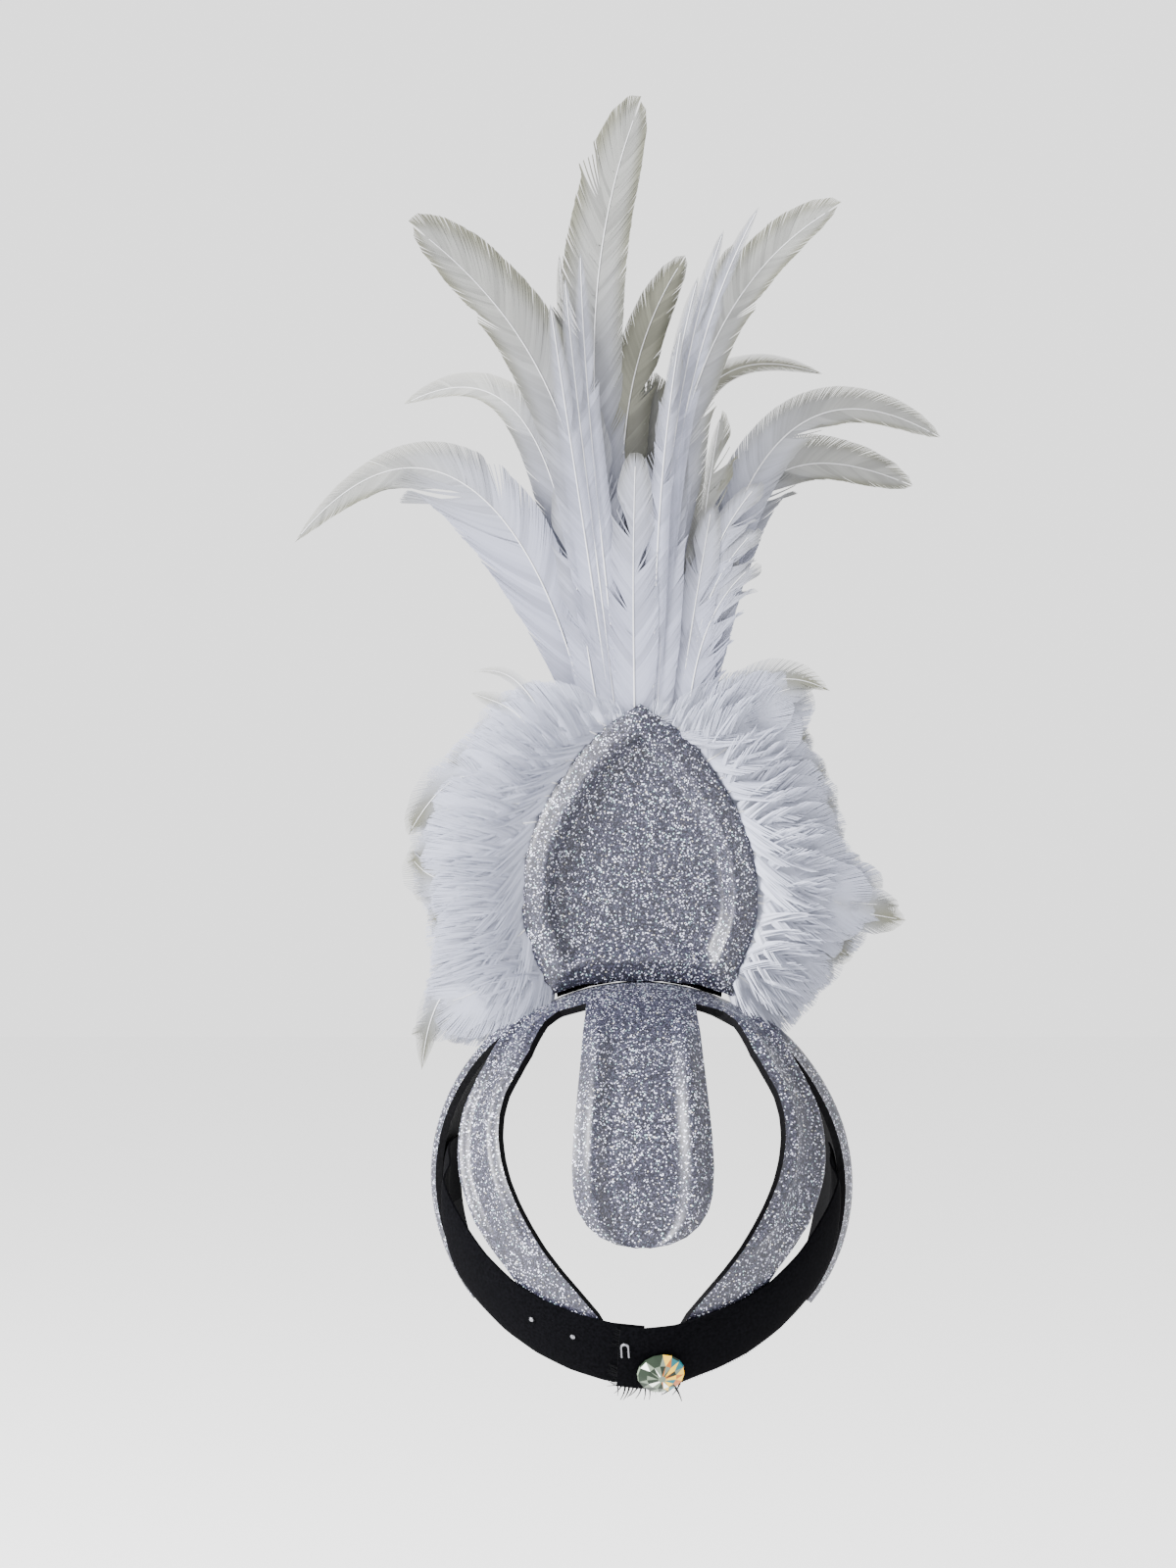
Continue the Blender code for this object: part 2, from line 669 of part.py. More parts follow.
def turned(name, place, normal, shape, radius, height, sides, finish):
    """A body turned about a normal, from shares of its radius and of its height."""
    across = normal.cross(Vector((0.0, 0.0, 1.0))).normalized()
    upright = across.cross(normal).normalized()
    points, faces = [], []
    for wide, up in shape:
        for index in range(sides):
            angle = 2.0 * math.pi * index / sides
            spoke = across * math.cos(angle) + upright * math.sin(angle)
            points.append(place + spoke * (radius * wide) + normal * (height * up))
    for level in range(len(shape) - 1):
        low, high = level * sides, (level + 1) * sides
        for index in range(sides):
            after = (index + 1) % sides
            faces.append([low + index, low + after, high + after, high + index])
    faces.append(list(range(sides)))
    faces.append([len(points) - 1 - index for index in range(sides)])
    return add_object(name, points, faces, finish)


def make_button():
    out = strap_out(BUTTON_DEGREES, True) + STRAP_THICKNESS + CLEARANCE
    place, normal = seat_on_strap(BUTTON_DEGREES, BUTTON_DROP, out)
    turned("crystal_button", place, normal, BUTTON_SHAPE, BUTTON_RADIUS, BUTTON_HEIGHT,
           BUTTON_SIDES, "crystal")


def make_eyes():
    for index, around in enumerate(EYES_DEGREES):
        out = strap_out(around, False) + STRAP_THICKNESS + CLEARANCE
        place, normal = seat_on_strap(around, HOOK_AND_EYES_DROP, out)
        turned("strap_eye_%d" % (index + 1), place, normal, EYE_SHAPE, EYE_RADIUS, EYE_HEIGHT,
               EYE_SIDES, "steel")


def make_hook():
    """A small wire hook: two legs and a bend, lying on the lap."""
    out = strap_out(HOOK_DEGREES, True) + STRAP_THICKNESS + CLEARANCE + HOOK_WIRE
    place, normal = seat_on_strap(HOOK_DEGREES, HOOK_AND_EYES_DROP, out)
    across = normal.cross(Vector((0.0, 0.0, 1.0))).normalized()
    upright = across.cross(normal).normalized()
    half, bend = HOOK_LENGTH / 2.0, HOOK_LENGTH * HOOK_BEND_SHARE
    path = [place + across * bend - upright * half]
    for index in range(HOOK_BEND_STEPS + 1):
        angle = math.pi * index / HOOK_BEND_STEPS
        path.append(place + across * (bend * math.cos(angle))
                    + upright * (half / 2.0 + bend * math.sin(angle)))
    path.append(place - across * bend - upright * half)
    sides = WIRE_SIDES
    points, faces = [], []
    for index, spot in enumerate(path):
        after = path[min(index + 1, len(path) - 1)]
        before = path[max(index - 1, 0)]
        along = (after - before).normalized()
        side = along.cross(normal).normalized()
        for turn in range(sides):
            angle = 2.0 * math.pi * turn / sides
            points.append(spot + side * (HOOK_WIRE * math.cos(angle))
                          + normal * (HOOK_WIRE * math.sin(angle)))
    for index in range(len(path) - 1):
        low, high = index * sides, (index + 1) * sides
        for turn in range(sides):
            after = (turn + 1) % sides
            faces.append([low + turn, low + after, high + after, high + turn])
    faces.append(list(range(sides)))
    faces.append([len(points) - 1 - turn for turn in range(sides)])
    return add_object("strap_hook", points, faces, "steel")


def main():
    clear_scene()
    make_frame()
    make_plate()
    make_backing()
    for row in PLUMES:
        make_plume(*row)
    make_ruff("ruff_left", -1.0, RUFF_LOCKS["ruff_left"])
    make_ruff("ruff_right", 1.0, RUFF_LOCKS["ruff_right"])
    fixed = between(BAND_ROWS, strap_down(90.0)) + STRAP_ON_BAND_DEGREES
    make_strap("strap_left", -fixed - SWING_LEFT_DEGREES, LAP_LEFT_DEGREES, False)
    make_strap("strap_right", LAP_RIGHT_DEGREES, fixed + SWING_RIGHT_DEGREES, True)
    make_button()
    make_eyes()
    make_hook()


main()
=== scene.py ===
import math
import random

import bpy
from mathutils import Matrix, Vector


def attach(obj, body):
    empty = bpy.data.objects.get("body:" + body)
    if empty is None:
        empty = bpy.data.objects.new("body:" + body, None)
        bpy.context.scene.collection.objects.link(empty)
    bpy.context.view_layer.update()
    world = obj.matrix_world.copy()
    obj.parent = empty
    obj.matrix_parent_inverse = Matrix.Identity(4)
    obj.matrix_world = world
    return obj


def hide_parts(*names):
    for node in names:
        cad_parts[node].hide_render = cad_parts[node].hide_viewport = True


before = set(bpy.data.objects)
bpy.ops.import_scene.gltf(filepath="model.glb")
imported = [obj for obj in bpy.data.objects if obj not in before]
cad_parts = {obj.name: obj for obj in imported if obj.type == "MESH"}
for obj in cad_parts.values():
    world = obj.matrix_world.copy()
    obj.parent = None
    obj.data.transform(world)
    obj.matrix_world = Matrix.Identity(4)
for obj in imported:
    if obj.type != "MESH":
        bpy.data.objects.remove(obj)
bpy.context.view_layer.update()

# Head hollow: half width, half depth and the drop to its widest line, in metres
HEAD_HALF_WIDTH = 0.0845
HEAD_HALF_DEPTH = 0.0940
HEAD_DROP = 0.0825
# How much it draws in below that line, across and front to back
DRAW_IN_ACROSS_SHARE = 0.50
DRAW_IN_DEPTH_SHARE = 0.36

# Cap frame
FOAM = 0.0030
# The raised lines stand higher than the solid's, so that they show under the glitter
RELIEF = 0.0034
TONGUE_HALF_WIDTH = 0.0284
BAND_DEPTH = 0.0385
SWING_LEFT_DEGREES = 14.0
SWING_RIGHT_DEGREES = 0.0
# Degrees down over which the bands swing back and the relief grows, and over which it fades
SWING_RUN_DEGREES = 20.0
RELIEF_FROM_DEGREES = 24.0
RELIEF_RUN_DEGREES = 22.0
TONGUE_FADE_DEGREES = 93.0
ARM_FADE_DEGREES = 96.0
FADE_RUN_DEGREES = 10.0
# Where the strips leave the closed crown, degrees down, and the arms' outer edge there
CROWN_EDGE_DEGREES = 24.0
SLIT_START = 34.0
ROOT_OUTER = 88.0
TONGUE_ROWS = (
    # down, half
    (24.0, 0.80), (31.0, 0.82), (38.0, 0.85), (45.0, 0.87), (53.0, 0.90),
    (62.0, 0.94), (71.0, 0.98), (79.0, 1.00), (86.0, 0.98), (90.5, 0.92),
    (94.5, 0.79), (97.5, 0.61), (99.5, 0.37), (100.3, 0.13),
)
ARM_ROWS = (
    # down, inner, outer
    (29.0, 54.0, 84.0), (34.0, 54.5, 79.5), (40.0, 50.5, 75.5), (46.0, 47.5, 70.5),
    (53.0, 47.0, 66.5), (60.0, 47.5, 65.0), (66.0, 46.5, 64.8), (72.0, 44.6, 63.2),
    (78.0, 42.0, 61.2), (84.0, 39.0, 58.8), (90.0, 35.5, 55.2), (96.0, 31.8, 51.6),
    (102.0, 28.0, 46.8), (108.0, 23.5, 41.4), (114.0, 18.6, 37.6), (120.0, 13.8, 33.0),
    (123.5, 12.0, 30.0),
)
BAND_ROWS = (
    # down, near, share of the whole width
    (29.0, 84.0, 1.00), (34.0, 79.5, 1.00), (40.0, 77.5, 1.00), (46.0, 75.8, 1.00),
    (53.0, 75.0, 1.00), (62.0, 75.5, 1.00), (71.0, 77.5, 1.00), (80.0, 79.5, 1.00),
    (89.0, 80.5, 0.98), (98.0, 81.5, 0.93), (107.0, 82.0, 0.84), (115.0, 82.5, 0.70),
    (121.0, 83.0, 0.52), (124.5, 83.0, 0.34),
)
# Raised lines and hollow across each strip: share of the width, share of the relief
TONGUE_PROFILE = ((0.0, 0.0), (0.15, 1.0), (0.27, -0.2), (0.5, -0.3),
                  (0.73, -0.2), (0.85, 1.0), (1.0, 0.0))
ARM_PROFILE = ((0.0, 0.0), (0.18, 0.7), (0.42, 0.0), (0.66, 0.1), (0.82, 1.0), (1.0, 0.0))
BAND_PROFILE = ((0.0, 0.0), (0.15, 0.8), (0.32, 0.0), (0.68, 0.0), (0.85, 0.8), (1.0, 0.0))
CROWN_STEP_DEGREES = 3.0
ROW_STEP_DEGREES = 1.5
PROFILE_STEPS = 4

# Crest plate
PLATE_HALF_WIDTH = 0.0500
PLATE_HEIGHT = 0.1240
PLATE_FOAM = 0.0030
PLATE_RIDGE_INSET = 0.0115
PLATE_RELIEF = 0.0042
PLATE_BACK = -0.0020
PLATE_ARCH_SHARE = 0.05
PLATE_MIDDLE_SHARE = 0.42
PLATE_SIDE = (
    # half, up
    (0.785, 0.000), (0.810, 0.038), (0.860, 0.100), (0.925, 0.168), (0.975, 0.231),
    (0.999, 0.294), (0.998, 0.355), (0.990, 0.420), (0.955, 0.500), (0.900, 0.570),
    (0.822, 0.640), (0.725, 0.710), (0.608, 0.780), (0.474, 0.850), (0.300, 0.920),
)
# The foot, from the middle out: half, down
PLATE_FOOT = ((0.0, 0.0), (0.22, 0.0), (0.50, 0.010))
# Raised ridge: rings inwards in shares of the ridge's inset, share of the relief
PLATE_PROFILE = ((0.0, 0.0), (0.125, 0.35), (0.75, 1.0), (0.875, 1.0), (1.375, -0.35),
                 (2.4, -0.45))
PLATE_RINGS = (0.0, 1.0, 1.5, 2.4)
PLATE_RING_STEP = 0.125
PLATE_SIDE_STEPS = 3
CLEARANCE = 0.0003

# Feathers
PLUME_ROOT_HEIGHT = 0.0700
PLUME_LENGTH = 0.3080
PLUME_PITCH = 0.0020
SHAFT_FRONT = 0.0008
LAYERS = 6
FRONT_LAYERS = 3
CURL_POWER = 2.5
RUFF_THICKNESS = 0.0036
PLUMES = (
    # name, layer, root, root lean, tip side, tip rise, tip lean, bow, left, right, curl
    ("upper_left", 0, -0.039, -5, -0.308, 0.812, -54, 0.40, 0.038, 0.052, -0.085),
    ("lean_right", 0, 0.016, 3, 0.272, 0.845, 62, 0.35, 0.038, 0.028, -0.070),
    ("top", 1, 0.000, -5, 0.000, 0.992, 22, 0.34, 0.050, 0.040, -0.030),
    ("outer_right", 1, 0.042, 8, 0.114, 0.572, 11, 0.35, 0.026, 0.062, 0.010),
    ("droop_left", 2, -0.052, -5, -0.489, 0.384, -142, 0.62, 0.078, 0.048, 0.040),
    ("spike_2", 2, -0.016, -6, -0.112, 0.805, -3, 0.33, 0.016, 0.014, 0.020),
    ("split_right", 2, 0.029, 4, 0.133, 0.810, 20, 0.35, 0.036, 0.034, 0.020),
    ("spike_1", 3, -0.029, -6, -0.133, 0.740, -7, 0.33, 0.018, 0.016, 0.040),
    ("curl_middle", 3, 0.0115, -3, 0.066, 0.797, 34, 0.34, 0.038, 0.036, 0.060),
    ("arch_right", 3, 0.0405, 8, 0.432, 0.541, 120, 0.50, 0.040, 0.038, 0.085),
    ("mid_left", 4, -0.0455, -9, -0.341, 0.590, -118, 0.44, 0.034, 0.038, 0.110),
    ("middle", 4, -0.003, 0, 0.010, 0.612, 2, 0.33, 0.046, 0.046, 0.040),
    ("low_right", 4, 0.055, 9, 0.392, 0.478, 112, 0.56, 0.048, 0.048, 0.110),
    ("arch_thin", 5, 0.026, 6, 0.278, 0.637, 108, 0.48, 0.024, 0.022, 0.140),
)
VANE_SHAPE = (
    # share along the shaft, share of the full reach, how far the barbs turn tipwards
    (0.00, 0.10, 0.00), (0.08, 0.16, 0.00), (0.16, 0.40, 0.00), (0.26, 0.74, 0.00),
    (0.38, 0.95, 0.00), (0.52, 1.00, 0.00), (0.66, 1.00, 0.00), (0.78, 0.98, 0.03),
    (0.88, 0.94, 0.08), (0.94, 0.82, 0.18), (0.975, 0.66, 0.34), (1.00, 0.40, 0.56),
)
# How strongly a feather narrows to a point; the others end bluntly
POINTED = {
    "droop_left": 0.74, "mid_left": 0.55, "arch_right": 0.38, "low_right": 0.35,
    "arch_thin": 0.4, "spike_1": 0.3, "spike_2": 0.3, "split_right": 0.3,
    "curl_middle": 0.2, "outer_right": 0.6,
}
POINT_FROM_SHARE = 0.35
# More feathers that stand in front of a tall one and belong to it
FRONT_FEATHERS = {
    "middle": (
        # root, root lean, tip side, tip rise, tip lean, bow, left, right, curl
        (-0.034, -8, -0.112, 0.470, -10, 0.35, 0.028, 0.026, 0.010),
        (0.034, 7, 0.100, 0.440, 10, 0.35, 0.026, 0.030, 0.010),
        (-0.019, -5, -0.070, 0.575, -3, 0.35, 0.026, 0.030, -0.006),
        (0.017, 3, 0.056, 0.550, 8, 0.35, 0.030, 0.028, -0.006),
        (-0.004, -1, -0.006, 0.505, 2, 0.35, 0.036, 0.036, -0.020),
    ),
    "outer_right": (
        (0.044, 8, 0.164, 0.470, 42, 0.35, 0.026, 0.036, 0.012),
        (0.048, 9, 0.158, 0.404, 46, 0.35, 0.026, 0.036, 0.012),
        (0.050, 10, 0.154, 0.355, 50, 0.35, 0.026, 0.038, 0.012),
    ),
    "spike_2": (
        (-0.022, -6, -0.124, 0.718, -8, 0.33, 0.018, 0.016, -0.078),
        (-0.018, -5, -0.104, 0.756, -5, 0.33, 0.016, 0.016, -0.072),
        (-0.014, -4, -0.082, 0.792, -1, 0.33, 0.016, 0.018, -0.066),
    ),
    "split_right": (
        (0.022, 3, 0.168, 0.852, 30, 0.35, 0.018, 0.014, -0.080),
        (0.020, 2, 0.118, 0.822, 20, 0.35, 0.018, 0.016, -0.070),
        (0.018, 2, 0.082, 0.758, 16, 0.35, 0.018, 0.016, -0.060),
        (0.016, 1, 0.058, 0.690, 10, 0.35, 0.016, 0.016, -0.050),
    ),
}
# How far apart they stand, how much they narrow and how far they turn to dull tips
FRONT_PITCH = 0.0006
FRONT_POINT = 0.25
FRONT_DULLED = 0.6
# Gaps in the vanes; the lower side of a gap falls back by a share of the swing
SPLIT_BACK_SHARE = 0.6
SPLITS = (
    # feather, side, share along the shaft, share of it that closes up again, swing
    ("top", -1, 0.66, 0.05, 0.22), ("top", -1, 0.86, 0.03, 0.25), ("top", 1, 0.52, 0.04, 0.15),
    ("upper_left", 1, 0.62, 0.05, 0.20), ("upper_left", -1, 0.80, 0.04, 0.12),
    ("lean_right", 1, 0.55, 0.06, 0.22), ("lean_right", -1, 0.48, 0.05, 0.20),
    ("split_right", -1, 0.62, 0.05, 0.35), ("split_right", -1, 0.76, 0.05, 0.40),
    ("split_right", 1, 0.70, 0.06, 0.35), ("split_right", 1, 0.84, 0.05, 0.30),
    ("outer_right", 1, 0.46, 0.05, 0.30), ("outer_right", 1, 0.60, 0.06, 0.45),
    ("outer_right", 1, 0.74, 0.06, 0.50), ("outer_right", 1, 0.87, 0.05, 0.50),
    ("droop_left", -1, 0.56, 0.05, 0.35), ("droop_left", 1, 0.50, 0.05, 0.15),
    ("arch_right", 1, 0.66, 0.06, 0.25), ("low_right", 1, 0.60, 0.05, 0.30),
    ("curl_middle", 1, 0.72, 0.05, 0.20), ("middle", 1, 0.70, 0.06, 0.30),
    ("middle", -1, 0.80, 0.06, 0.30), ("middle", -1, 0.58, 0.05, 0.20),
    ("upper_left", 1, 0.44, 0.05, 0.16), ("spike_1", -1, 0.7, 0.06, 0.3),
    ("spike_2", 1, 0.76, 0.06, 0.3), ("lean_right", 1, 0.76, 0.04, 0.14),
)
# Feathers standing behind the others, whose vanes carry painted shade
SHADED_FEATHERS = ("curl_middle", "arch_thin", "spike_1")
FIRST_SEED = 5
SEED_STEP = 13
SHAFT_STEPS = 120
# The shaft leaves its seat over its first share and ends a little before the vane's tip
SEAT_SHARE = 0.08
SHAFT_END_SHARE = 0.975
SHAFT_RADIUS = 0.00054
SHAFT_TIP_RADIUS = 0.00018
SHAFT_TAPER_POWER = 0.7
SHAFT_SIDES = 6

# Barbs
BARB_PITCH = 0.00062
BARB_SEGMENTS = 5
BARB_TAPER_SHARE = 0.65
# How the clumps of barbs wander along the shaft, and how they differ by shaft and side
CLUMP_WANDER = 5.0
CLUMP_WANDER_SCALE = 0.35
CLUMP_SHIFT_BY_SHAFT = 7.31
CLUMP_SHIFT_BY_SIDE = 0.37
CLUMP_SIZE_MIDDLE = 0.6
SEED_STEP_BY_SIDE = 100.0
SHADE_MIDDLE = 0.5
SHADE_BY_CLUMP = 0.35
SHADE_BY_BARB = 0.15

# Ruff
RUFF_SPREAD = 0.1100
RUFF_STRIP_INSET = 0.0060
RUFF_LOCKS = {
    "right": (
        # side, rise
        (0.545, -0.105), (0.660, -0.035), (0.730, 0.045), (0.815, 0.140), (0.996, 0.255),
        (0.785, 0.365), (0.765, 0.480), (0.745, 0.600), (0.705, 0.720), (0.645, 0.835),
        (0.560, 0.935), (0.710, 1.045), (0.500, 1.090), (0.330, 1.090),
    ),
    "left": (
        (0.560, -0.100), (0.650, -0.115), (0.870, -0.190), (0.760, 0.010), (0.760, 0.120),
        (0.800, 0.205), (0.860, 0.300), (0.890, 0.415), (0.885, 0.560), (0.810, 0.660),
        (0.725, 0.755), (0.620, 0.850), (0.540, 0.950), (0.600, 1.085), (0.360, 1.090),
    ),
}
RUFF_SEEDS = {"left": 21, "right": 34}
RUFF_ROWS = (
    # reach, feathers to a lock, wander, width, how far they stand forward, how far tips fall back
    (0.95, 1, 0.0, 0.62, 0.0010, 0.006), (0.83, 3, 1.0, 1.00, 0.0000, 0.008),
    (0.70, 3, 1.0, 1.00, 0.0025, 0.004), (0.48, 2, 1.0, 0.85, 0.0045, 0.002),
)
RUFF_VANE_SHAPE = (
    # share along the shaft, share of the full width, how far the barbs turn tipwards
    (0.00, 0.60, 0.0), (0.25, 1.00, 0.0), (0.55, 1.00, 0.02), (0.78, 0.80, 0.12),
    (0.92, 0.52, 0.30), (1.00, 0.26, 0.60),
)
# Single feathers that curl out past the others
RUFF_CLAWS = {
    "left": (
        # root side, root rise, root lean, tip side, tip rise, tip lean, width
        (0.560, 0.054, 95, 0.842, -0.290, 174, 0.46), (0.353, 0.877, 30, 0.633, 1.062, 100, 0.22),
        (0.580, 0.675, 50, 0.882, 0.522, 150, 0.60), (0.655, 0.336, 85, 0.873, 0.409, 40, 0.60),
        (0.420, 0.860, 35, 0.640, 0.985, 70, 0.30),
    ),
    "right": (
        (0.178, 0.777, 38, 0.712, 1.006, 116, 0.62), (0.518, 0.223, 78, 0.996, 0.212, 100, 0.75),
        (0.500, 0.160, 95, 0.800, 0.090, 115, 0.60),
    ),
}
CLAW_BOW = 0.42
CLAW_BACK = 0.0040
CLAW_TAPER_SHARE = 0.3
# Where along a tall feather's colours a claw and a ruff feather start
CLAW_COLOUR_FROM = 0.62
RUFF_COLOUR_FROM = 0.2
RUFF_VANE_WIDTH = 0.0150
RUFF_STEPS = 12
RUFF_QUILL = 0.00055
RUFF_QUILL_TAPER_SHARE = 0.8
# How much the feathers of a row differ: place, turn, reach, hook and height off the plate
RUFF_WANDER = 0.3
RUFF_TURN = 0.08
RUFF_REACH_CHANGE = 0.1
RUFF_HOOK = 0.10
RUFF_LIFT_CHANGE = 0.0008
RUFF_LIFT_SHARE = 0.4
# Beside the tall feathers the last locks are shorter and narrower
RUFF_INNER_LOCKS = 2.5
RUFF_INNER_LENGTH_SHARE = 0.45
RUFF_INNER_WIDTH_SHARE = 0.35
RUFF_INPUTS = dict(
    Pitch=0.00068, Barb_Width=0.180, Sweep=1.20, Bend=0.45, Clump_Length=0.0080,
    Clump_Pull=0.02, Clump_Swing=0.008, Spread=0.004, Lift=0.005, Length_Change=0.03)

# Strap and closure
STRAP_WIDTH = 0.0290
STRAP_THICKNESS = 0.0016
STRAP_SEAT = 0.0008
LAP_LEFT_DEGREES = 0.0
LAP_RIGHT_DEGREES = -8.0
STRAP_ON_BAND_DEGREES = 14.0
# Degrees round over which the strap passes to the bands' inside, and rises for the lap
DIVE_FROM_DEGREES = 66.0
DIVE_RUN_DEGREES = 12.0
LAP_FROM_DEGREES = 26.0
LAP_RUN_DEGREES = 20.0
STRAP_ROWS = (
    # around, down
    (0.0, 130.6), (12.0, 129.6), (24.0, 127.2), (35.0, 123.6), (45.0, 118.6),
    (54.0, 111.6), (62.0, 103.8), (71.0, 96.2), (82.0, 90.5), (96.0, 87.5), (112.0, 87.0),
)
STRAP_STEPS = 130
STRAP_LINES = 12
STRAP_EDGE_SHARE = 0.55
STRAP_EDGE_POWER = 6
STRAP_MIDDLE = (0.0, 0.0, -0.12)
THREAD_STEPS = 24
THREAD_RADIUS = 0.0002
THREADS = (
    # name, from and to round the strap, from and to across it, reach, inputs
    ("frayed_end", LAP_RIGHT_DEGREES, LAP_RIGHT_DEGREES, -1.0, 0.9, 0.0030,
     dict(Seed=3, Pitch=0.0007, Barb_Width=0.16, Sweep=0.1, Bend=0.2, Spread=0.5, Lift=0.5,
          Length_Change=1.2, Clump_Pull=0.6)),
    ("hanging_threads", 12.0, LAP_RIGHT_DEGREES, -1.0, -1.0, 0.0056,
     dict(Seed=8, Pitch=0.0016, Barb_Width=0.16, Sweep=0.1, Bend=0.3, Spread=0.7, Lift=0.4,
          Length_Change=1.6, Clump_Pull=0.8)),
    ("selvedge", 62.0, 12.0, -1.0, -1.0, 0.0008,
     dict(Seed=9, Pitch=0.0011, Barb_Width=0.45, Sweep=0.1, Bend=0.1, Spread=0.15, Lift=0.1,
          Length_Change=0.5, Clump_Pull=0.1)),
)
BUTTON_RADIUS = 0.0097
BUTTON_HEIGHT = 0.0052
BUTTON_DEGREES = 6.0
BUTTON_DROP = 0.0048
BUTTON_SIDES = 16
BUTTON_MIDDLE_SHARE = 0.4
BUTTON_SECTIONS = (
    # share of the radius, share of the height, turn in sides
    (0.86, 0.0, 0.0), (1.0, 0.27, 0.0), (0.97, 0.45, 0.0), (0.62, 0.80, 0.5), (0.16, 1.0, 0.0),
)
# Tones of the faces on the crystal's left, darker as painted shade, and on its right, brighter as
# painted light, by their numbers
CRYSTAL_SHADED_SIDE = (0, 1, 1, 0, 1, 5)
CRYSTAL_LIT_SIDE = (2, 3, 4, 2, 1, 0)
CRYSTAL_SPLIT = 0.15
CRYSTAL_MIX = 0.35
CRYSTAL_SEED = 4

# Finishes: cells to the metre, and shares
FLAKE_SCALE = 2150.0
PATCH_SCALE = 40.0
PATCH_DETAIL = 3.0
FLAKE_SHARE = 0.86
GRAIN_SCALE = 900.0
GRAIN_FROM = 0.3
GRAIN_TO = 0.7
# The top tone is painted glints: a random few flakes are painted near white as if they caught the
# light
GLITTER_TONES_AND_GLINTS = (
    # share of the flakes below, colour
    (0.0, (0.002, 0.002, 0.007)), (0.30, (0.008, 0.008, 0.018)), (0.52, (0.020, 0.020, 0.036)),
    (0.70, (0.050, 0.050, 0.080)), (0.862, (0.62, 0.64, 0.76)),
)
GLITTER_TINTS = (
    (0.0, (0.70, 1.0, 0.90)), (0.12, (1.0, 1.0, 1.0)), (0.70, (0.96, 0.90, 1.0)),
    (0.93, (1.0, 0.92, 0.66)),
)
# Where along a barb its end's darker colour and its clearness start
EDGE_FROM = 0.45
CLEAR_FROM = 0.5

# Studio
SKY_STRENGTH = 2.0
FLOOR_HEIGHT = -0.45
FLOOR_HALF = 6.0
LAMPS = (
    # name, place, power, size
    ("key", (-2.0, -1.0, 1.1), 310.0, 0.7), ("fill", (1.7, -1.4, 0.5), 15.0, 1.2),
)
LAMP_AIM = (0.0, 0.0, 0.05)
CAMERA_PLACE = (-0.022, -1.5, 0.087)
CAMERA_LENS = 81.0
CAMERA_SENSOR = 36.0


# Small helpers

# Less than this over a whole number of steps is rounding, and adds no step
ROUNDING = 1e-6


def ease(share):
    share = min(max(share, 0.0), 1.0)
    return share * share * (3.0 - 2.0 * share)


def between(rows, at, column=1, smooth=False):
    """The value of a table's column where its first column is at; smooth rounds the rows off."""
    for low, high in zip(rows, rows[1:]):
        if at <= high[0]:
            share = (at - low[0]) / (high[0] - low[0])
            share = ease(share) if smooth else share
            return low[column] + (high[column] - low[column]) * share
    return rows[-1][column]


def risen(least, share):
    """From least at share 0 to 1 at share 1."""
    return least + (1.0 - least) * share


def finer(values, step):
    """Values with even steps put in between them, none longer than step."""
    made = []
    for low, high in zip(values, values[1:]):
        count = max(1, math.ceil((high - low) / step - ROUNDING))
        made += [low + (high - low) * n / count for n in range(count)]
    return made + [values[-1]]


def new_object(name, points, faces, materials, marks=None, smooth=True):
    """A mesh object from points and faces; marks gives each face its material's number."""
    mesh = bpy.data.meshes.new(name)
    mesh.from_pydata([tuple(point) for point in points], [], faces)
    for material in materials:
        mesh.materials.append(material)
    if marks:
        mesh.polygons.foreach_set("material_index", marks)
    mesh.polygons.foreach_set("use_smooth", [smooth] * len(mesh.polygons))
    mesh.update()
    made = bpy.data.objects.new(name, mesh)
    bpy.context.scene.collection.objects.link(made)
    return made


def thick_sheet(name, front, back, faces, materials):
    """Front in the first material; back and edges in the last one."""
    count = len(front)
    uses = {}
    for face in faces:
        for start, end in zip(face, face[1:] + face[:1]):
            uses.setdefault(frozenset((start, end)), []).append((start, end))
    walls = [[end, start, start + count, end + count]
             for sides in uses.values() if len(sides) == 1 for start, end in sides]
    backs = [[index + count for index in reversed(face)] for face in faces]
    marks = [0] * len(faces) + [len(materials) - 1] * (len(backs) + len(walls))
    made = new_object(name, front + back, faces + backs + walls, materials, marks)
    shape = made.data
    sharp = shape.attributes.new("sharp_edge", "BOOLEAN", "EDGE")
    rims = {key for key, sides in uses.items() if len(sides) == 1}
    for edge in shape.edges:
        a, b = edge.vertices
        if frozenset((a % count, b % count)) in rims and (a < count) == (b < count):
            sharp.data[edge.index].value = True
    return made


# Node trees and materials

